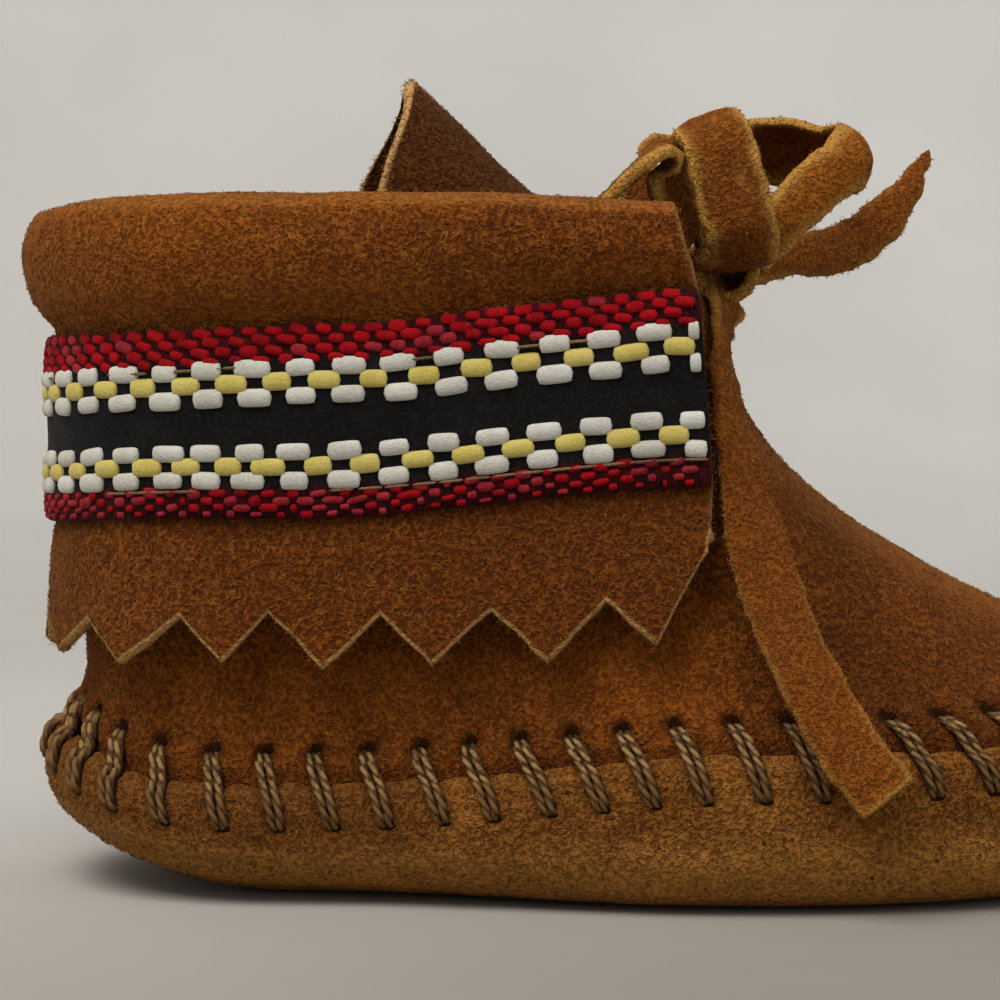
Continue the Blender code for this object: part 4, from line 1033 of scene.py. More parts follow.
WRAP = [
    Ring(60, 1.9, -5.4, 3.6), Ring(100, 2.3, -5.6, 4.4), Ring(140, 2.5, -5.8, 4.8), Ring(180, 2.6, -6.0, 5.0), Ring(220, 2.7, -6.2, 5.2),
    Ring(260, 2.8, -6.4, 5.4), Ring(300, 2.8, -6.4, 5.4), Ring(340, 2.75, -6.3, 5.2), Ring(380, 2.7, -6.1, 5.0), Ring(420, 2.7, -6.0, 4.8),
    Ring(455, 2.6, -5.8, 4.2),
]
KNOT_X, KNOT_Z = 8.9, 56.7


def thong(name, turns, widths, nodes, thick=1.15, slit=None, **shape):
    """One length of thong. Its faces pale towards the cut edges as strongly as the column gold says."""
    face, back, line, length, out = ribbon(turns, widths, thick, **shape)
    run = run_of(line)
    golden = through([w.at for w in widths], [w.gold for w in widths], run / run[-1])[:, None]
    light = through([w.at for w in widths], [w.light for w in widths], run / run[-1])[:, None]
    tone = np.clip(noise(face, 5, 17, 2) * 0.4, -0.4, 0.4) + light
    in_from_edge = np.minimum(run_of(face, 1), run_of(face[:, ::-1], 1)[:, ::-1])
    band = smooth(1.0, 0.05, in_from_edge + noise(face, 1.4, 18, 2) * 0.75) * golden
    if slit:
        ridge = creased(face, [Crease(1.0, 0.5, slit)])
        face = face + out[:, None] * (ridge * 0.4)[..., None]
        band = band + ridge * 0.9
    obj = panel(name, face, back, [SUEDE_THONG], marks={"tone": tone, "dark": np.zeros_like(tone), "raw_extra": (band, band * 0.4)})
    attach(obj, "root")
    if nodes:
        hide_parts(*nodes)
    return obj, face, back, line, length


crossing, cross_face, cross_back, _, _ = thong("thong_run", CROSSING, CROSS_WIDE, ["thong_crossing"], cup=0.15, wave=0.2, seed=4)
near, near_face, near_back, near_line, near_length = thong(
    "thong_bow_near", THONG_NEAR, NEAR_WIDE, ["thong_loop_near", "thong_tail_near"], slit=SLIT, cup=0.35, wave=0.32, seed=11, cols=13
)
far, far_face, far_back, far_line, far_length = thong(
    "thong_bow_far", THONG_FAR, FAR_WIDE, ["thong_loop_far", "thong_tail_far"], cup=0.3, wave=0.3, seed=21, tip=0.16
)
wrap_turns = [
    Turn(
        KNOT_X + r.radius * math.cos(math.radians(r.turn_deg)), r.y, KNOT_Z + r.radius * 1.05 * math.sin(math.radians(r.turn_deg)),
        math.cos(math.radians(r.turn_deg)), -0.05, math.sin(math.radians(r.turn_deg)),
    )
    for r in WRAP
]
wrap_wide = [Wide(k / (len(WRAP) - 1), r.wide) for k, r in enumerate(WRAP)]
knot, knot_face, knot_back, _, _ = thong("thong_wrap", wrap_turns, wrap_wide, ["thong_knot"], cup=-0.2, wave=0.2, seed=31)

# ---------------------------------------------------------------- the seam's stitches, as numbers
STITCHES = 53
STITCH_AT_X = -8.5          # one stitch on the outer side is centred here
LEAN = 1.3                  # its upper hole is this far towards the heel of its middle, its lower hole towards the toe
HOLE_UP, HOLE_DOWN = 2.35, 3.85


def half_columns(table, at, count):
    half, _ = vs_at(table, at, 0, 3, count=count)
    return np.concatenate([-half[::-1], half[1:-1]])


seam_v = np.linspace(-3, 3, 8001)
seam_p = plan(SOLE, 0.0, seam_v)[0]
seam_run = run_of(seam_p)
SEAM = seam_run[-1]
PITCH = SEAM / STITCHES
outer_side = (seam_v > -2.2) & (seam_v < -0.9)
first = seam_run[outer_side][np.argmin(np.abs(seam_p[outer_side, 0] - STITCH_AT_X))] % PITCH
stitch_s = first + PITCH * np.arange(STITCHES) + RNG.normal(0, 0.14, STITCHES)
# the outer side's stitches are a little further apart from the ball to the toe
toe_s = np.interp(0.0, seam_v, seam_run)
stitch_s += np.interp(stitch_s - toe_s, [-46, -36, -24, -8, 0], [0.0, 0.4, 1.6, 0.9, 0.0])
stitch_x = np.interp(stitch_s, seam_run, seam_p[:, 0])
stitch_s += (np.interp(stitch_s, seam_run, seam_p[:, 1]) < 0) * np.interp(
    stitch_x, [-48, -43, -38, -33, -27, -22, -17, -13, -8, -3, 1, 5, 12], [0, 0.2, 0.9, 0.9, 0.68, 0.64, 0.36, 0.18, 0.18, 0.08, -0.12, -0.3, -0.1]
)


def lean_at(s):
    """How far the stitches lean at distances s along the seam: less towards the heel and round the toe."""
    x = np.interp(s % SEAM, seam_run, seam_p[:, 0])
    return LEAN * np.interp(x, [-42, -36, -31, -27, -22, -17, -13, -8, -1, 5, 22], [0.9, 0.64, 0.57, 0.72, 0.77, 0.83, 0.87, 1.0, 0.98, 0.84, 0.62])


def from_stitch(s, slant):
    """Signed distance along the seam from the nearest stitch, whose line is moved by slant there."""
    d = (s[None] - slant[None] - stitch_s.reshape(-1, *[1] * s.ndim) + SEAM / 2) % SEAM - SEAM / 2
    nearest = np.argmin(np.abs(d), axis=0)
    return np.take_along_axis(d, nearest[None], axis=0)[0]


# ---------------------------------------------------------------- the upper
U_ROWS, U_COLS = 74, 180
u_at = np.interp(np.linspace(0, 1, U_ROWS), [0, 0.5, 1], [0, 0.36, 1])
u_v = half_columns(UPPER, 0.25, U_COLS)
u_base = plan(UPPER, u_at, u_v)
u_out = normals(u_base, True, 1)
u_out *= np.sign((u_out[20] * (u_base[20] - u_base[20].mean(axis=0))).sum())
u_s = np.broadcast_to(np.interp(u_v, seam_v, seam_run), u_base.shape[:2])
edge_z = np.interp(u_v, seam_v, seam_p[:, 2])
u_h = (u_base[..., 2] - edge_z[None]) * 1.06

UPPER_CREASES = [
    # across the vamp, in front of the tongue
    Crease(0.35, 2.2, [(12, -17, 46), (17, -14, 43), (22, -9, 41), (25, 0, 40)]),
    Crease(-0.3, 2.4, [(17, -17.5, 41), (23, -13, 37.5), (28, -6, 36.5), (30, 2, 36)]),
    # the quarter, under the cuff
    Crease(0.25, 2.6, [(-38, -16, 26), (-30, -18.5, 22), (-22, -20, 19.5)]),
    Crease(0.3, 2.0, [(-6, -20.5, 27), (0, -21.5, 22.5), (4, -22.5, 18.5)]),
    Crease(-0.25, 2.6, [(4, -20, 28), (10, -21, 23), (14, -22, 18.5)]),
    Crease(0.3, 2.4, [(-44, 11, 26), (-36, 17, 23), (-28, 19.5, 20)]),
    Crease(0.3, 2.2, [(2, 20.5, 27), (8, 21, 22), (12, 22, 18)]),
    # the toe's top
    Crease(0.25, 3.0, [(34, -14, 25), (40, -8, 24.5), (43, 0, 24), (41, 8, 24.5)]),
]


def upper_relief(p):
    return noise(p, 13, 2, 2) * 0.42 + noise(p, 4.2, 8, 2) * 0.14 - creased(p, UPPER_CREASES)


near_hole = from_stitch(u_s, -lean_at(u_s) * np.clip(u_h / HOLE_UP, -0.5, 1.2))
groove = np.exp(-((near_hole / 0.8) ** 2)) * smooth(-2.5, -0.5, u_h) * (1 - smooth(2.3, 3.6, u_h))
pulled = np.exp(-(((u_h - 1.0) / 2.2) ** 2))
calm = smooth(1.5, 7, u_h)
u_push = upper_relief(u_base) * calm - 0.32 * groove - 0.18 * pulled + 0.16 * (1 - np.exp(-((near_hole / 1.2) ** 2))) * np.exp(-(((u_h - 2.4) / 1.6) ** 2))
from_hole = (from_stitch(u_s, -lean_at(u_s)) / 0.92) ** 2 + ((u_h - HOLE_UP - 0.55) / 0.90) ** 2
u_push *= smooth(-3.5, 0.0, u_h)
u_push -= 0.6 * np.exp(-from_hole)
u_push += 1.05 * smooth(-2.2, -0.6, u_h) * (1 - smooth(0.8, 6.0, u_h))
u_push -= 0.35 * smooth(0.93, 1.0, u_at)[:, None]
u_face = u_base + u_out * u_push[..., None]
u_back = u_base - u_out * 1.3 + u_out * (noise(u_base, 9, 44, 2) * 0.15)[..., None]
u_tone = noise(u_base, 16, 60, 2) * 0.32 + noise(u_base, 5, 61, 2) * 0.2
# a painted highlight along the vamp's ridge
u_tone += 0.28 * np.exp(-(((u_base[..., 1] - 1.5) / 7) ** 2)) * smooth(24, 34, u_base[..., 2]) * smooth(8, 16, u_base[..., 0])
u_tone -= 0.25 * smooth(20, 26, u_base[..., 2]) * (1 - smooth(-2, 8, u_base[..., 0]))
u_tone += 0.16 * (1 - smooth(4, 14, u_base[..., 0])) - 0.22 * smooth(10, 20, u_base[..., 0])
vamp_side = smooth(-3, -9, u_base[..., 1])
beside_tail = u_base[..., 0] - (16.2 + 0.435 * (34.3 - u_base[..., 2]))
u_tone -= 0.55 * vamp_side * smooth(26, 18, u_base[..., 2]) * smooth(10, 16, u_base[..., 0]) * (1 - smooth(32, 44, u_base[..., 0]))
u_tone += 0.30 * smooth(18, 25, u_base[..., 2]) * (1 - smooth(-8, 2, u_base[..., 0])) - 0.1 * smooth(18, 14, u_base[..., 2]) * (1 - smooth(-8, 2, u_base[..., 0]))
u_tone += 0.25 * vamp_side * np.exp(-(((u_base[..., 0] - 26) / 7) ** 2 + ((u_base[..., 2] - 30) / 5) ** 2))
# dark: painted shade along the seam, heavier by the stitches, painted shade in the stitch holes, and a painted shadow
# of the thong's tail on the vamp beside it
u_dark = 0.30 * np.exp(-(((u_h - 0.2) / 0.8) ** 2)) * (0.4 + 0.6 * np.exp(-((near_hole / 1.4) ** 2)))
u_dark = np.maximum(u_dark, 0.92 * np.exp(-((from_hole / 1.25) ** 2)))
u_dark = np.maximum(u_dark, 0.24 * vamp_side * np.exp(-((beside_tail / 4.0) ** 2)) * smooth(40, 34, u_base[..., 2]))
u_now = normals(u_face, True, 1)
u_now *= np.sign((u_now * u_out).sum())
# painted highlight where the vamp faces up and to the outer side
u_painted_light = smooth(-0.5, -0.05, u_now[..., 1]) * smooth(0.35, 0.6, u_now[..., 2]) * smooth(6, 12, u_base[..., 0])
inner_tone = u_tone * 0.3 - 0.2
upper = panel("moccasin_upper", u_face, u_back, [SUEDE_UPPER], closed=True,
              marks={"tone": (u_tone, inner_tone), "dark": (u_dark, u_dark * 0), "painted_light": (u_painted_light, u_painted_light * 0)})
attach(upper, "root")
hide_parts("upper")

# ---------------------------------------------------------------- the sole
S_ROWS, S_RINGS, S_COLS = 56, 7, 205
s_at = np.interp(np.linspace(0, 1, S_ROWS), [0, 0.35, 1], [0, 0.22, 1])
s_v = half_columns(SOLE, 0.2, S_COLS)
s_base = plan(SOLE, s_at, s_v)
s_out = normals(s_base, True, 1)
s_out *= np.sign((s_out[20] * (s_base[20] - s_base[20].mean(axis=0))).sum())
s_s = np.broadcast_to(np.interp(s_v, seam_v, seam_run), s_base.shape[:2])
s_d = run_of(s_base)
SOLE_CREASES = [
    Crease(0.3, 1.6, [(-30, -20.5, 9.5), (-26, -20, 7), (-22, -18, 4)]),
    Crease(0.25, 1.8, [(0, -25, 9), (5, -25.5, 7), (9, -24, 4)]),
    Crease(0.3, 1.8, [(24, -23, 10), (30, -22.5, 7.5), (34, -20, 4.5)]),
    Crease(0.3, 1.8, [(-20, 21.5, 9), (-14, 22, 7), (-9, 21, 4)]),
    Crease(0.3, 1.8, [(18, 25, 9.5), (24, 25, 7), (28, 23, 4.5)]),
]


def sole_relief(p):
    return noise(p, 10, 102, 2) * 0.34 + noise(p, 3.4, 108, 2) * 0.13 - creased(p, SOLE_CREASES)


near_low = from_stitch(s_s, lean_at(s_s) * np.clip(s_d / HOLE_DOWN, -0.2, 1.2))
low_groove = np.exp(-((near_low / 0.85) ** 2)) * (1 - smooth(3.4, 5.1, s_d))
bulge = (1 - np.exp(-((near_low / 1.25) ** 2))) * np.exp(-(((s_d - 1.4) / 2.0) ** 2))
s_push = sole_relief(s_base) * smooth(0.5, 6, s_d) - 0.42 * low_groove + 0.16 * bulge
s_push -= 0.45 * (1 - smooth(0.0, 1.3, s_d))
s_push *= 1 - smooth(0.80, 0.95, s_at)[:, None]
drop = 0.25 * np.exp(-((near_low / 1.0) ** 2)) * (1 - smooth(0.2, 2.8, s_d)) - 0.08 * (1 - np.exp(-((near_low / 1.1) ** 2))) * (1 - smooth(0.2, 2.2, s_d))
drop += noise(np.stack([s_s * 1.0, s_s * 0 + 3, s_s * 0], -1), 1.6, 77) * 0.22 * (1 - smooth(0.0, 1.4, s_d))
s_face = s_base + s_out * s_push[..., None] - np.array([0, 0, 1.0]) * drop[..., None]


def closing_rings(outline, level, count):
    """Rings from an outline in to its middle line, which is at the height level."""
    x = np.clip(outline[:, 0], -31, 12)
    spine = np.stack([x, swing(x), np.full_like(x, level)], axis=1)
    return np.array([spine + (outline - spine) * (1 - k / count) for k in range(1, count + 1)])


s_floor = closing_rings(s_face[-1], 0.0, S_RINGS)
s_wall = 0.5 + 0.9 * smooth(0.2, 2.6, s_d)
s_inner = s_base + s_out * (s_push - s_wall)[..., None] - np.array([0, 0, 1.0]) * drop[..., None]
s_inner[..., 2] = np.maximum(s_inner[..., 2], 1.5)
s_floor_in = closing_rings(s_inner[-1], 1.5, S_RINGS)
sole_face = np.concatenate([s_face, s_floor])
sole_back = np.concatenate([s_inner, s_floor_in])
pad = np.zeros((S_RINGS, len(s_v)))
s_tone = noise(s_base, 14, 160, 2) * 0.3 + noise(s_base, 4, 161, 2) * 0.2 + 0.35 * smooth(5, 12, s_d) - 0.1
s_tone -= 0.55 * smooth(8, 3, s_d) * smooth(-14, -20, s_base[..., 0])
# dark: painted shade in the twine's grooves by the sole's holes, and a darker band near the seam towards the heel
s_dark = 0.22 * np.exp(-((near_low / 1.0) ** 2)) * (1 - smooth(3.4, 4.6, s_d)) * smooth(0.2, 1.0, s_d)
s_dark = np.maximum(s_dark, 0.22 * smooth(9, 2, s_d) * smooth(-14, -22, s_base[..., 0]))
s_raw = -0.7 * (1 - smooth(0.15, 0.9, s_d))
# painted light on the sole's lower part, standing in for light bounced up from the floor
s_painted_light = 0.9 * smooth(0.34, 0.62, s_at)[:, None] + 0 * s_d
sole = panel(
    "moccasin_sole", sole_face, sole_back, [SUEDE_SOLE], closed=True, rims=(True, False), weld=True,
    marks={"tone": np.concatenate([s_tone, pad]), "dark": (np.concatenate([s_dark, pad]), np.concatenate([s_dark * 0, pad])),
           "painted_light": (np.concatenate([s_painted_light, pad]), np.concatenate([s_painted_light * 0, pad])),
           "raw_extra": (np.concatenate([s_raw, pad]), np.concatenate([s_raw * 0, pad]))},
)
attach(sole, "root")
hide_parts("sole")

# ---------------------------------------------------------------- the insole
i_v = half_columns(SOLE, 1.0, 110)
i_rows = plan(SOLE, np.linspace(0.945, 1.0, 5), i_v)
i_rise = np.linspace(0.3, 0.0, 5)[:, None, None] * np.array([0, 0, 1.0])
i_top = np.concatenate([i_rows + [0, 0, 3.0] + i_rise, closing_rings(i_rows[-1] + [0, 0, 3.0], 3.0, 9)])
i_top[..., 2] += noise(i_top, 9, 31, 2) * 0.12
i_low = np.concatenate([i_rows + [0, 0, 1.8] + i_rise, closing_rings(i_rows[-1] + [0, 0, 1.8], 1.8, 9)])
insole = panel("moccasin_insole", i_top, i_low, [SUEDE_LINING], closed=True, rims=(True, False), weld=True,
               marks={"tone": noise(i_top, 8, 5, 2) * 0.3, "dark": i_top[..., 2] * 0})
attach(insole, "root")
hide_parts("insole")


# ---------------------------------------------------------------- whip stitches
def surface_at(face, out, columns_s, depth, s, want):
    """Points and normals on a grid at distances s along the seam and want away from the sole's edge."""
    col = np.interp(s % SEAM, columns_s, np.arange(len(columns_s)))
    j = np.floor(col).astype(int)
    w = col - j
    k = (j + 1) % face.shape[1]
    j = j % face.shape[1]
    row = np.empty(len(s))
    for i in range(len(s)):
        d = depth[:, j[i]] * (1 - w[i]) + depth[:, k[i]] * w[i]
        row[i] = np.interp(want, d, np.arange(len(d)))
    r = np.clip(np.floor(row).astype(int), 0, face.shape[0] - 2)
    u, w = (row - r)[:, None], w[:, None]

    def at(g):
        return (g[r, j] * (1 - w) + g[r, k] * w) * (1 - u) + (g[r + 1, j] * (1 - w) + g[r + 1, k] * w) * u

    return at(face), unit(at(out))


u_columns = np.append(np.interp(u_v, seam_v, seam_run), SEAM)
s_columns = np.append(np.interp(s_v, seam_v, seam_run), SEAM)
u_flat = u_base + u_out * (u_push + 0.32 * groove)[..., None]
s_flat = s_base + s_out * (s_push + 0.42 * low_groove)[..., None] - np.array([0, 0, 1.0]) * drop[..., None]
# where the twine goes: which surface, how far from the sole's edge, the share of the lean, and how high it stands
Knee = namedtuple("Knee", "on away lean stand spread")
TWINE_PATH = [
    Knee("upper", 2.55, -1.00, -1.05, 0.60), Knee("upper", 2.50, -1.00, -0.30, 0.65), Knee("upper", 2.05, -0.85, 0.24, 0.88),
    Knee("upper", 1.30, -0.50, 0.42, 1.0), Knee("sole", 0.15, -0.05, 0.46, 1.0), Knee("sole", 1.4, 0.36, 0.40, 1.0),
    Knee("sole", 2.6, 0.70, 0.28, 0.95), Knee("sole", 3.55, 0.94, 0.06, 0.75), Knee("sole", 3.90, 1.0, -0.38, 0.6), Knee("sole", 3.95, 1.0, -1.0, 0.55),
]
up_jitter = RNG.normal(0, 0.12, STITCHES)
swollen = 1 + 0.32 * smooth(-43, -50, stitch_x)[:, None]       # the twine bunches and swells where it rounds the heel
knees, stitch_out = {-1: [], 1: []}, None
for knee in TWINE_PATH:
    away = knee.away
    for side in (-1, 1):
        s = stitch_s + lean_at(stitch_s) * knee.lean + side * 0.44 * knee.spread * swollen[:, 0]
        if knee.on == "upper":
            p, o = surface_at(u_flat, u_out, u_columns, u_h, s, away)
        else:
            p, o = surface_at(s_flat, s_out, s_columns, s_d, s, away)
        knees[side].append(p + o * (knee.stand + up_jitter[:, None] * 0.2))
        stitch_out = o if knee.away == 0.15 else stitch_out
RINGS_PER = 22
p, _ = surface_at(u_flat, u_out, u_columns, u_h, stitch_s - 0.4, 1.0)
q, _ = surface_at(u_flat, u_out, u_columns, u_h, stitch_s + 0.4, 1.0)
seam_way = unit(q - p)


def curve_through(stack, count):
    """Smooth curves through stacked points (n, k, 3), with count points each."""
    n, k = stack.shape[:2]
    run = np.cumsum(np.pad(np.linalg.norm(np.diff(stack, axis=1), axis=2), [(0, 0), (1, 0)]), axis=1)
    tang = np.empty_like(stack)
    tang[:, 1:-1] = (stack[:, 2:] - stack[:, :-2]) / (run[:, 2:] - run[:, :-2])[..., None]
    tang[:, 0] = (stack[:, 1] - stack[:, 0]) / run[:, 1, None]
    tang[:, -1] = (stack[:, -1] - stack[:, -2]) / (run[:, -1] - run[:, -2])[:, None]
    out = np.empty((n, count, 3))
    for i in range(n):
        d = np.linspace(0, run[i, -1], count)
        j = np.clip(np.searchsorted(run[i], d, side="right") - 1, 0, k - 2)
        h = (run[i, j + 1] - run[i, j])[:, None]
        f = (d - run[i, j])[:, None] / h
        out[i] = (
            (2 * f**3 - 3 * f**2 + 1) * stack[i, j] + (f**3 - 2 * f**2 + f) * h * tang[i, j]
            + (3 * f**2 - 2 * f**3) * stack[i, j + 1] + (f**3 - f**2) * h * tang[i, j + 1]
        )
    return out, run[:, -1]


PLY_SIDES, PLIES, PLY_RADIUS, PLY_OUT, TWIST = 5, 3, 0.23, 0.215, 3.9
ply_lines, ply_across, dull, dark, crown = [], [], [], [], []
for side in (-1, 1):
    lines, lengths = curve_through(np.stack(knees[side], axis=1), RINGS_PER)
    tangent = unit(np.gradient(lines, axis=1))
    way = seam_way[:, None]
    across = unit(way - tangent * (way * tangent).sum(-1, keepdims=True))
    up = np.cross(tangent, across)
    up *= np.sign((up * stitch_out[:, None]).sum(-1).mean(1))[:, None, None]
    t = np.linspace(0, 1, RINGS_PER)[None]
    phase = RNG.random(STITCHES)[:, None] * 6.28
    for k in range(PLIES):
        a = -(t * lengths[:, None] / TWIST + k / PLIES) * 2 * np.pi + phase
        offset = PLY_OUT * swollen[..., None] * (across * np.cos(a)[..., None] + up * np.sin(a)[..., None])
        ply_lines.append(lines + offset)
        ply_across.append(across)
        # marks: dull for the lower part of each stitch, dark for painted shade on both ends inside the holes, crown for
        # where a ply faces out, which gets the painted highlight
        dull.append(np.broadcast_to(smooth(0.45, 0.66, t + 0 * a), a.shape))
        dark.append(np.broadcast_to(np.clip(1 - smooth(0.06, 0.2, t) + smooth(0.9, 0.97, t), 0, 1), a.shape))
        crown.append(0.5 + 0.5 * np.sin(a))
ply_lines, ply_across = np.concatenate(ply_lines), np.concatenate(ply_across)
round_about = np.ones((1, 1, PLY_SIDES))
taper = np.interp(np.linspace(0, 1, RINGS_PER), [0, 0.06, 0.94, 1], [0.8, 1, 1, 0.8])[None] * PLY_RADIUS * np.tile(swollen, (2 * PLIES, 1))
marks = {k: (np.concatenate(v)[..., None] * round_about).ravel() for k, v in (("dull", dull), ("dark", dark), ("crown", crown))}
stitching = tubes(ply_lines, ply_across, taper, PLY_SIDES, "seam_twine", [TWINE], marks=marks)
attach(stitching, "root")

# painted shade for the holes that the twine goes through: dark discs a little larger than it
hole_at, hole_n, hole_e = [], [], []
for on, away, lean in (("upper", HOLE_UP + 0.78, -1.0), ("sole", HOLE_DOWN + 0.2, 1.04)):
    s = stitch_s + lean_at(stitch_s) * lean
    if on == "upper":
        (p, o), (p2, _) = surface_at(u_face, u_out, u_columns, u_h, s, away), surface_at(u_face, u_out, u_columns, u_h, s + 0.3, away)
    else:
        (p, o), (p2, _) = surface_at(s_face, s_out, s_columns, s_d, s, away), surface_at(s_face, s_out, s_columns, s_d, s + 0.3, away)
    hole_at.append(p + o * 0.03)
    hole_n.append(o)
    hole_e.append(unit(p2 - p))
hole_at, hole_n, hole_e = np.concatenate(hole_at), np.concatenate(hole_n), np.concatenate(hole_e)
hole_up = np.cross(hole_n, hole_e)
size = np.tile([[0.84, 0.66, 0.16]], (len(hole_at), 1))
size[STITCHES:] = [0.80, 0.36, 0.14]
size = size * (0.9 + 0.25 * RNG.random((len(hole_at), 1)))
stitch_holes = grains("stitch_holes", hole_at, hole_e, hole_up, hole_n, size, [HOLE], rings=5, sides=10, square=1.0)
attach(stitch_holes, "root")

# ---------------------------------------------------------------- the cuff
PER_CUT = 13


def cuff_columns(side, cuts):
    """Values of v from the front edge to the heel on one side, with a column at each tip and notch, and how far the
    cut edge drops and lifts at each."""
    fine = np.linspace(1, 3, 4001)
    run = run_of(plan(CUFF, 1.0, side * fine)[0])
    at = np.array([c.along for c in cuts]) * run[-1] / cuts[-1].along
    d = np.concatenate([np.linspace(a, b, PER_CUT, endpoint=False) for a, b in zip(at, at[1:])] + [[at[-1]]])
    return side * np.interp(d, run, fine), np.interp(d, at, [c.drop for c in cuts]), np.interp(d, at, [c.lift for c in cuts])


v_out, drop_out, lift_out = cuff_columns(-1, TEETH_OUTER)
v_in, drop_in, lift_in = cuff_columns(1, TEETH_INNER)
c_v = np.concatenate([v_out, v_in[::-1][1:]])
c_drop = np.concatenate([drop_out, drop_in[::-1][1:]])
c_lift = np.concatenate([lift_out, lift_in[::-1][1:]])
c_at = np.concatenate([np.linspace(0, 0.10, 6), np.linspace(0.12, 0.30, 15), np.linspace(0.32, 0.80, 18), np.linspace(0.82, 1.0, 16)])
c_base = plan(CUFF, c_at, c_v)
c_out = normals(c_base, False, 1)
mid = c_base[30]
c_out *= np.sign((c_out[30] * (mid - np.array([-24.0, 0.5, 45.0]))).sum())

CUFF_CREASES = [
    # soft upright folds round the heel and the rolled top
    Crease(0.45, 2.6, [(-50.5, -17.5, 60), (-51, -17, 54), (-50, -16, 48)]),
    Crease(-0.35, 3.0, [(-44, -22.5, 60), (-44, -21.5, 53)]),
    Crease(0.35, 2.8, [(-36, -23.5, 60), (-36.5, -22, 54)]),
    Crease(0.4, 2.6, [(-12, -23, 60.5), (-13, -22.5, 56.5), (-12, -21.5, 53)]),
    Crease(-0.3, 3.0, [(-4, -23, 60), (-4, -22, 55)]),
    Crease(0.45, 2.0, [(3, -22, 61), (2.6, -22, 57.5), (3, -21.5, 54)]),
    Crease(0.4, 2.6, [(-14, 23, 60.5), (-15, 22.5, 56), (-14, 21.5, 52)]),
    Crease(0.45, 2.8, [(-42, 21.5, 60), (-43, 21, 54), (-42, 20, 48)]),
    # above and below the tape, which draws the suede in
    Crease(0.3, 1.5, [(5, -21.2, 55.3), (-16, -22, 54), (-34, -21.5, 52), (-48, -14, 51)]),
    Crease(0.35, 1.6, [(6.5, -21.3, 36.6), (-14, -21.8, 36), (-34, -21.3, 34.3), (-48, -14, 32.6)]),
    Crease(0.35, 1.6, [(6.5, 21.3, 36.6), (-14, 22.4, 36), (-34, 21.8, 34.3), (-48, 14.5, 32.6)]),
    # the hem between two teeth
    Crease(0.3, 2.0, [(-19, -22.5, 33), (-20, -23, 28), (-19.5, -23, 24)]),
    Crease(-0.3, 2.4, [(-30, -22.5, 33), (-31, -22.8, 27)]),
    Crease(0.35, 2.2, [(-44, -19, 33), (-45.5, -19.5, 27)]),
]


def cuff_relief(p):
    return noise(p, 12, 202, 2) * 0.42 + noise(p, 4.0, 208, 2) * 0.15 - creased(p, CUFF_CREASES)


c_push = cuff_relief(c_base)
c_push *= (0.25 + 0.75 * smooth(0.05, 0.16, c_at))[:, None]
under = smooth(0.43, 0.47, c_at) * (1 - smooth(0.73, 0.77, c_at))
c_push -= 0.22 * under[:, None]
c_face = c_base + c_out * c_push[..., None]
hang = smooth(0.78, 1.0, c_at)[:, None]
down = unit(c_base[-1] - c_base[-6])
c_face = c_face + down[None] * (hang * c_drop[None])[..., None] + c_out * (smooth(0.84, 1.0, c_at)[:, None] * (c_lift[None] + 0.15))[..., None]
hem_wave = noise(np.stack([c_face[-1, :, 0], c_face[-1, :, 1], np.zeros(len(c_v))], -1), 1.4, 55, 2) * 0.22
c_face = c_face + down[None] * (hang * hem_wave[None])[..., None]
c_out_now = normals(c_face, False, 1)
c_out_now *= np.sign((c_out_now * c_out).sum())
c_wall = 1.2
c_back = c_face - c_out_now * c_wall
rng_tone = noise(c_base, 15, 260, 2) * 0.28 + noise(c_base, 5, 261, 2) * 0.22
c_tone = rng_tone + 0.42 * smooth(0.5, 0.3, c_at)[:, None] - 0.12 * smooth(0.75, 0.82, c_at)[:, None]
c_tone -= 0.30 * smooth(-34, 4, c_base[..., 0])
c_tone -= 0.40 * smooth(-24, 4, c_base[..., 0]) * smooth(0.76, 0.80, c_at)[:, None]
c_tone += 0.22 * (smooth(-20, -48, c_base[..., 0])) * smooth(0.5, 0.4, c_at)[:, None]
# dark: painted shade along the tape's top and bottom edges, where the suede is drawn in under it, and darker towards
# the front below the tape
c_dark = 0.12 * np.exp(-(((c_at - 0.445) / 0.012) ** 2))[:, None] + 0.35 * np.exp(-(((c_at - 0.757) / 0.012) ** 2))[:, None] + 0 * c_tone
c_dark += 0.10 * smooth(-24, -2, c_base[..., 0]) * smooth(0.76, 0.80, c_at)[:, None]
c_edge = np.minimum(run_of(c_face, 1), run_of(c_face[:, ::-1], 1)[:, ::-1])
c_raw = -0.65 * (1 - smooth(0.3, 1.2, c_edge)) * (1 - smooth(0.8, 0.95, c_at))[:, None]
c_tone += 0.45 * np.exp(-(((c_at - 0.40) / 0.05) ** 2))[:, None]
# painted highlight where the cuff faces up
c_painted_light = 0.8 * smooth(0.45, 0.9, c_out_now[..., 2]) * smooth(0.1, 0.13, c_at)[:, None]
cuff = panel("moccasin_cuff", c_face, c_back, [SUEDE_CUFF], bulge=0.2,
             marks={"tone": (c_tone, c_tone * 0.3 - 0.2), "dark": (c_dark, c_dark * 0), "painted_light": (c_painted_light, c_painted_light * 0),
                    "raw_extra": (c_raw, c_raw)})
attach(cuff, "root")
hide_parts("cuff")

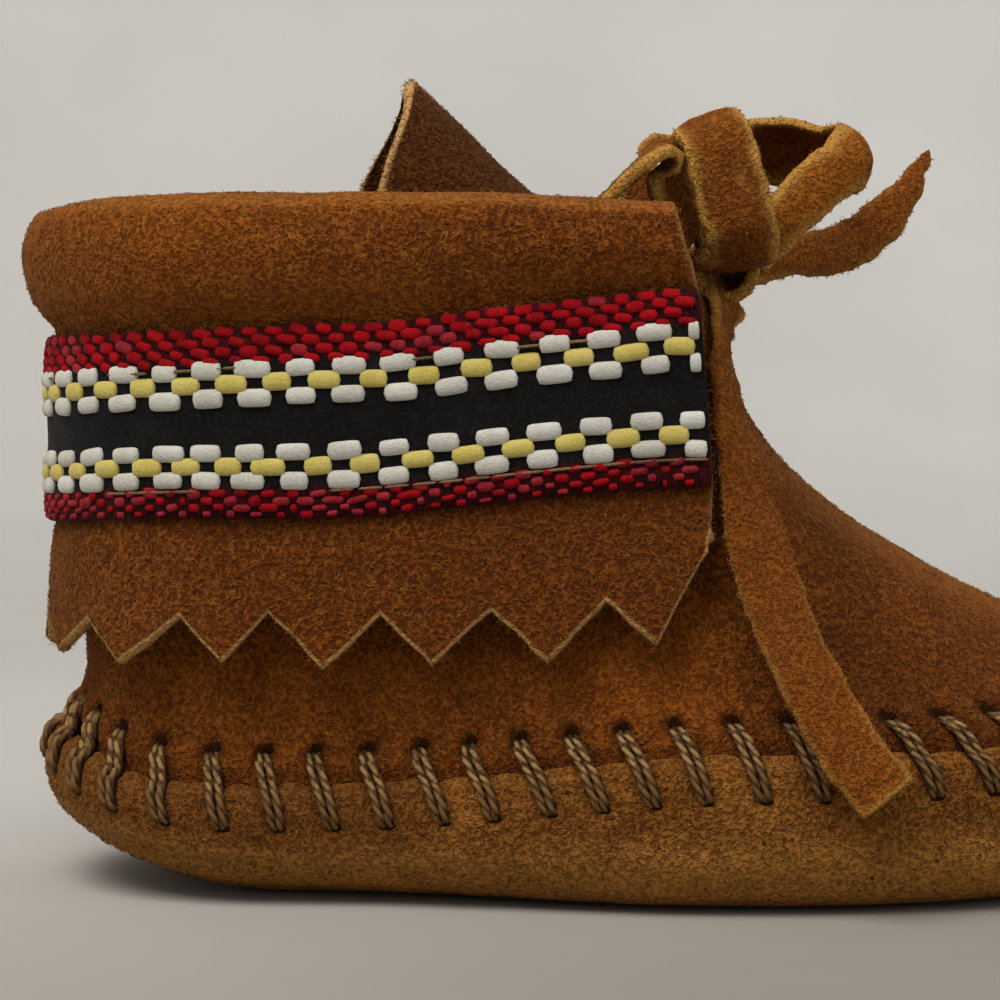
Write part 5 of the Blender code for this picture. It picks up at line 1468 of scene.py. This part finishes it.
# ---------------------------------------------------------------- the woven tape
Band = namedtuple("Band", "kind across wide")
b_at = np.linspace(BRAID_FROM, BRAID_TO, 26)
b_base = plan(CUFF, b_at, c_v)
RISE = [(-50, 0.1), (-41, 0.1), (-36, 0.35), (-31, 0.6), (-27, 0.75), (-22, 0.5), (-18, 0.4), (-14, 0.45), (-9, 0.3), (-4, 0.15), (0, 0.15), (4, 0.45)]
b_rise = np.interp(b_base[..., 0], [x for x, _ in RISE], [mm for _, mm in RISE]) * (1 - smooth(0.35, 0.85, np.linspace(0, 1, len(b_at))))[:, None]
b_base = b_base + b_rise[..., None] * [0, 0, 1.0]
b_out = normals(b_base, False, 1)
b_out *= np.sign((b_out[12] * (b_base[12] - np.array([-24.0, 0.5, 45.0]))).sum())
b_lift = cuff_relief(b_base) * 0.9 + 0.30 + 0.35 * b_rise + noise(b_base, 6, 301, 2) * 0.10
b_across = run_of(b_base)
TAPE = float(np.median(b_across[-1]))
b_share = b_across / b_across[-1:]
b_along = run_of(b_base[13])[None] + 0 * b_across
b_crown = 0.55 + 0.12 * np.sin(np.pi * b_share) - 0.25 * (np.exp(-((b_share / 0.03) ** 2)) + np.exp(-(((1 - b_share) / 0.03) ** 2)))
b_face = b_base + b_out * (b_lift + b_crown)[..., None]
b_back = b_base + b_out * (b_lift - 0.02)[..., None]
b_red = np.maximum(1 - smooth(0.155, 0.185, b_share), smooth(0.835, 0.86, b_share))
braid = panel("braid_tape", b_face, b_back, [BRAID_GROUND], marks={"along": b_along, "across": b_across, "red": b_red, "dark": b_along * 0})
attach(braid, "root")
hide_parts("braid")

b_now = normals(b_face, False, 1)
b_now *= np.sign((b_now * b_out).sum())
b_ends = run_of(b_face[13])
BRAID_LONG = b_ends[-1]


def on_tape(s, share):
    """Points, normals and the two directions of the tape at a distance s round it and a share of its width."""
    col = np.interp(s, b_ends, np.arange(len(b_ends)))
    row = np.interp(share, b_share[:, 100], np.arange(len(b_at)))
    p, o = blended(b_face, row, col), unit(blended(b_now, row, col))
    ahead = blended(b_face, row, np.minimum(col + 1, len(b_ends) - 1)) - blended(b_face, row, np.maximum(col - 1, 0))
    ahead = unit(ahead - o * (ahead * o).sum(-1, keepdims=True))
    return p, o, ahead, np.cross(o, ahead)


Row = namedtuple("Row", "share kind offset")
UNIT = 4.44                    # mm from one white float to the next
TAPE_ROWS = [
    Row(0.212, "white", 0.0), Row(0.286, "yellow", 0.5), Row(0.360, "white", 0.0),
    Row(0.655, "white", 0.12), Row(0.730, "yellow", 0.62), Row(0.804, "white", 0.12),
]
Border = namedtuple("Border", "share kind offset half high")
BORDER_ROWS = [
    Border(0.022, "red", 0.0, 0.90, 0.46), Border(0.072, "red", 0.5, 0.88, 0.46), Border(0.122, "red", 0.0, 0.86, 0.46), Border(0.170, "red", 0.5, 0.76, 0.40),
    Border(0.872, "pink", 0.25, 0.64, 0.36), Border(0.911, "pink", 0.75, 0.70, 0.37), Border(0.947, "pink", 0.25, 0.56, 0.32), Border(0.979, "pink", 0.75, 0.44, 0.27),
]
SHIFT_AT = [0, 12, 19, 30, 39, 45, 50, 62]                  # mm round the tape, and how far its floats sit towards the front there
SHIFT_UP = [1.2, 1.2, 0.95, 0.8, 1.1, 1.6, 1.9, 1.7]
SHIFT_LOW = [0.65, 0.6, 0.45, 0.6, 0.9, 1.8, 2.7, 2.8]
FIRST = 5.3                    # mm from the tape's front end to the first white float's middle

at, out, ahead, over, sizes, kinds = [], [], [], [], [], []
for row in TAPE_ROWS:
    s = FIRST - UNIT + UNIT * row.offset + UNIT * np.arange(int(BRAID_LONG / UNIT) + 2)
    s = s + RNG.normal(0, 0.09, len(s))
    s = s - np.interp(s, SHIFT_AT, SHIFT_UP if row.share < 0.5 else SHIFT_LOW)
    long = (1.44 if row.kind == "white" else 1.36) * (1 + RNG.normal(0, 0.06, len(s)))
    ends = np.clip(s - long, 0.1, BRAID_LONG - 0.1), np.clip(s + long, 0.1, BRAID_LONG - 0.1)
    s, long = (ends[0] + ends[1]) / 2, (ends[1] - ends[0]) / 2
    s, long = s[long > 0.35], long[long > 0.35]
    lean = RNG.normal(0, 0.10, len(s))
    p, o, a, w = on_tape(s, row.share + RNG.normal(0, 0.002, len(s)))
    at.append(p + o * 0.06)
    out.append(o)
    tilt = lean[:, None] * 0.3
    ahead.append(unit(a + w * tilt))
    over.append(np.cross(o, unit(a + w * tilt)))
    sizes.append(np.stack([long * 1.02, 0.79 + RNG.normal(0, 0.03, len(s)), np.full(len(s), 0.42)], axis=1))
    kinds.append(np.full(len(s), 0 if row.kind == "white" else 1))
floats = grains(
    "braid_floats", np.concatenate(at), np.concatenate(ahead), np.concatenate(over), np.concatenate(out), np.concatenate(sizes),
    [YARN_WHITE, YARN_YELLOW], np.concatenate(kinds), rings=13, sides=14, square=2.2,
)
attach(floats, "root")

at, out, ahead, over, sizes, kinds, duller_part = [], [], [], [], [], [], []
for row in BORDER_ROWS:
    low = row.kind == "pink"
    gap = UNIT / 2
    s = gap * row.offset + gap * np.arange(int(BRAID_LONG / gap) + 2)
    s = s + RNG.normal(0, 0.06, len(s))
    s = s[(s > 0.7) & (s < BRAID_LONG - 0.7)]
    p, o, a, w = on_tape(s, row.share + RNG.normal(0, 0.002, len(s)))
    at.append(p + o * 0.06)
    out.append(o)
    slope = (-0.16 - 0.2 * smooth(30, 55, s)[:, None] if not low else 0.05) + RNG.normal(0, 0.08, len(s))[:, None]
    ahead.append(unit(a + w * slope))
    over.append(np.cross(o, unit(a + w * slope)))
    half = row.half * (1 + RNG.normal(0, 0.12 if not low else 0.25, len(s)))
    high = row.high * (1 + RNG.normal(0, 0.08 if not low else 0.16, len(s)))
    sizes.append(np.stack([half, high, np.full(len(s), 0.25 if not low else 0.22)], axis=1))
    faded = (RNG.random(len(s)) < (0.06 if not low else 0.45)) | (s % BRAID_LONG > BRAID_LONG * 0.36) & (RNG.random(len(s)) < 0.4)
    kinds.append(np.where(faded, 1, 0))
red_floats = grains(
    "braid_borders", np.concatenate(at), np.concatenate(ahead), np.concatenate(over), np.concatenate(out), np.concatenate(sizes),
    [YARN_RED, YARN_PINK], np.concatenate(kinds), rings=5, sides=8, square=2.2,
)
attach(red_floats, "root")

# the tape's two lines of machine stitching
at, out, ahead, over, sizes = [], [], [], [], []
for share, wander in ((0.206, 0.006), (0.862, 0.004)):
    s = np.arange(1.2, BRAID_LONG - 1, 2.35) + RNG.normal(0, 0.05, len(np.arange(1.2, BRAID_LONG - 1, 2.35)))
    s = s[RNG.random(len(s)) < (0.4 if share < 0.5 else np.where(s < 30, 0.9, 0.3))]        # most of them have sunk into the weave
    p, o, a, w = on_tape(s, share + wander * np.sin(s / 7))
    at.append(p + o * (0.34 if share < 0.5 else 0.22))
    out.append(o)
    ahead.append(a)
    over.append(w)
    sizes.append(np.tile([[1.12, 0.13, 0.13]], (len(s), 1)))
tape_thread = grains("tape_thread", *(np.concatenate(x) for x in (at, ahead, over, out, sizes)), [YARN_TAN], rings=6, sides=6, square=2.0)
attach(tape_thread, "root")

# ---------------------------------------------------------------- the tongue
T_ROWS, T_COLS = 56, 40
t_run = np.concatenate([[0], np.cumsum([math.hypot(b.x - a.x, b.z - a.z) for a, b in zip(TONGUE, TONGUE[1:])])])


def rib(key, d):
    return through(t_run, [getattr(r, key) for r in TONGUE], d)


t_d = np.linspace(0, t_run[-1], T_ROWS)
ahead_d, behind_d = np.minimum(t_d + 0.05, t_run[-1]), np.maximum(t_d - 0.05, 0)
axis = unit(np.stack([rib("x", ahead_d) - rib("x", behind_d), 0 * t_d, rib("z", ahead_d) - rib("z", behind_d)], axis=1))
inward = np.stack([-axis[:, 2], 0 * t_d, axis[:, 0]], axis=1)
inward *= np.where(inward[:, :1] > 0, -1, 1)
ridge = np.stack([rib("x", t_d), 0 * t_d, rib("z", t_d)], axis=1)
half, roll, turn = rib("half", t_d)[:, None], rib("roll", t_d)[:, None], np.radians(rib("turn", t_d))[:, None]
cut_wave = noise(np.stack([ridge[:, 0], ridge[:, 2], 0 * t_d], -1), 4, 91, 2)[:, None] * 0.3
a = (half + cut_wave) * np.linspace(-1, 1, T_COLS)[None] / roll + turn


BACK_AT = [50, 58, 63.6, 68.2, 70.3]       # mm up, and how far the worn tongue leans towards the heel there
BACK_BY = [0.0, 1.0, 1.15, 0.4, 0.2]


def tongue_side(r):
    p = ridge[:, None] + np.array([0, 1.0, 0]) * (r * np.sin(a))[..., None] + inward[:, None] * (roll - r * np.cos(a))[..., None]
    p[..., 1] += swing(p[..., 0])
    p[..., 0] -= np.interp(p[..., 2], BACK_AT, BACK_BY)
    p[..., 2] -= 0.3 * smooth(66, 73, p[..., 2])
    return p


t_lump = noise(tongue_side(roll), 7, 93, 2) * 0.35
t_face, t_back = tongue_side(roll + 0.7 + t_lump), tongue_side(roll - 0.7 + t_lump)
t_tone = noise(t_face, 8, 94, 2) * 0.35 - 0.05
tongue = panel("moccasin_tongue", t_face, t_back, [SUEDE_TONGUE], marks={"tone": t_tone, "dark": t_tone * 0}, bulge=0.2)
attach(tongue, "root")
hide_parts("tongue")

# ---------------------------------------------------------------- the nap and the frayed edges
s_now = normals(s_face, True, 1)
s_now *= np.sign((s_now * s_out).sum())
t_now = normals(t_face, False, 1)
t_now *= np.sign((t_now[30, 20] * (t_face[30, 20] - t_back[30, 20])).sum())


def strip_now(face, back):
    return unit(face - back)


shown = smooth(-0.5, 0.8, u_h) * (1 - smooth(31, 34, u_base[..., 2]) * (1 - smooth(2, 5, u_base[..., 0])))
fuzz("nap_upper", np.concatenate([u_face, u_face[:, :1]], 1), np.concatenate([u_now, u_now[:, :1]], 1), 1.5,
     keep=np.concatenate([shown, shown[:, :1]], 1))
fuzz("nap_sole", np.concatenate([s_face, s_face[:, :1]], 1), np.concatenate([s_now, s_now[:, :1]], 1), 1.9,
     keep=np.concatenate([1 - smooth(0.8, 0.9, s_at)[:, None] + 0 * s_d, (1 - smooth(0.8, 0.9, s_at)[:, None] + 0 * s_d)[:, :1]], 1),
     slot="suede_sole")
bare = (1 - under)[:, None] * (0.3 + 0.7 * smooth(0.02, 0.12, c_at))[:, None] + 0 * c_tone
fuzz("nap_cuff", c_face, c_out_now, 1.8, keep=bare)
fuzz("nap_tongue", t_face, t_now, 1.8)
thong_parts = [(near_face, near_back), (far_face, far_back), (knot_face, knot_back), (cross_face, cross_back)]
for label, (f, b) in zip(("near", "far", "wrap", "run"), thong_parts):
    fuzz("nap_thong_" + label, f, strip_now(f, b), 2.0, slot="suede_thong", length=0.40, fat=0.045, stand=0.0, weights=(0.05, 0.25, 0.35, 0.25, 0.1))
for label, (f, b) in zip(("near", "far"), thong_parts[:2]):
    fuzz("nap_under_" + label, b, strip_now(b, f), 0.9, slot="suede_thong", length=0.4, fat=0.045, stand=0.0, weights=(0.05, 0.2, 0.3, 0.3, 0.15))
frayed("fray_cuff", [edge_fibres(c_face, c_back, 2600, sides=("row1", "col0", "col1"))], kinds=(0.0, 0.15, 0.3, 0.3, 0.25))
frayed("fray_thong", [edge_fibres(f, b, n) for (f, b), n in zip(thong_parts, (2500, 850, 700, 600))], length=0.42, fat=0.06, kinds=(0.0, 0.1, 0.2, 0.3, 0.4))
frayed("fray_tongue", [edge_fibres(t_face, t_back, 900, sides=("row1", "col0", "col1"))], fat=0.05, kinds=(0.0, 0.05, 0.15, 0.35, 0.45))

# ---------------------------------------------------------------- sizes, then the end
tri = {}
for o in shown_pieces():
    if o.type == "MESH":
        tri[o.name] = sum(len(p.vertices) - 2 for p in o.data.polygons)
print("triangles", sum(tri.values()), sorted(tri.items(), key=lambda x: -x[1]))
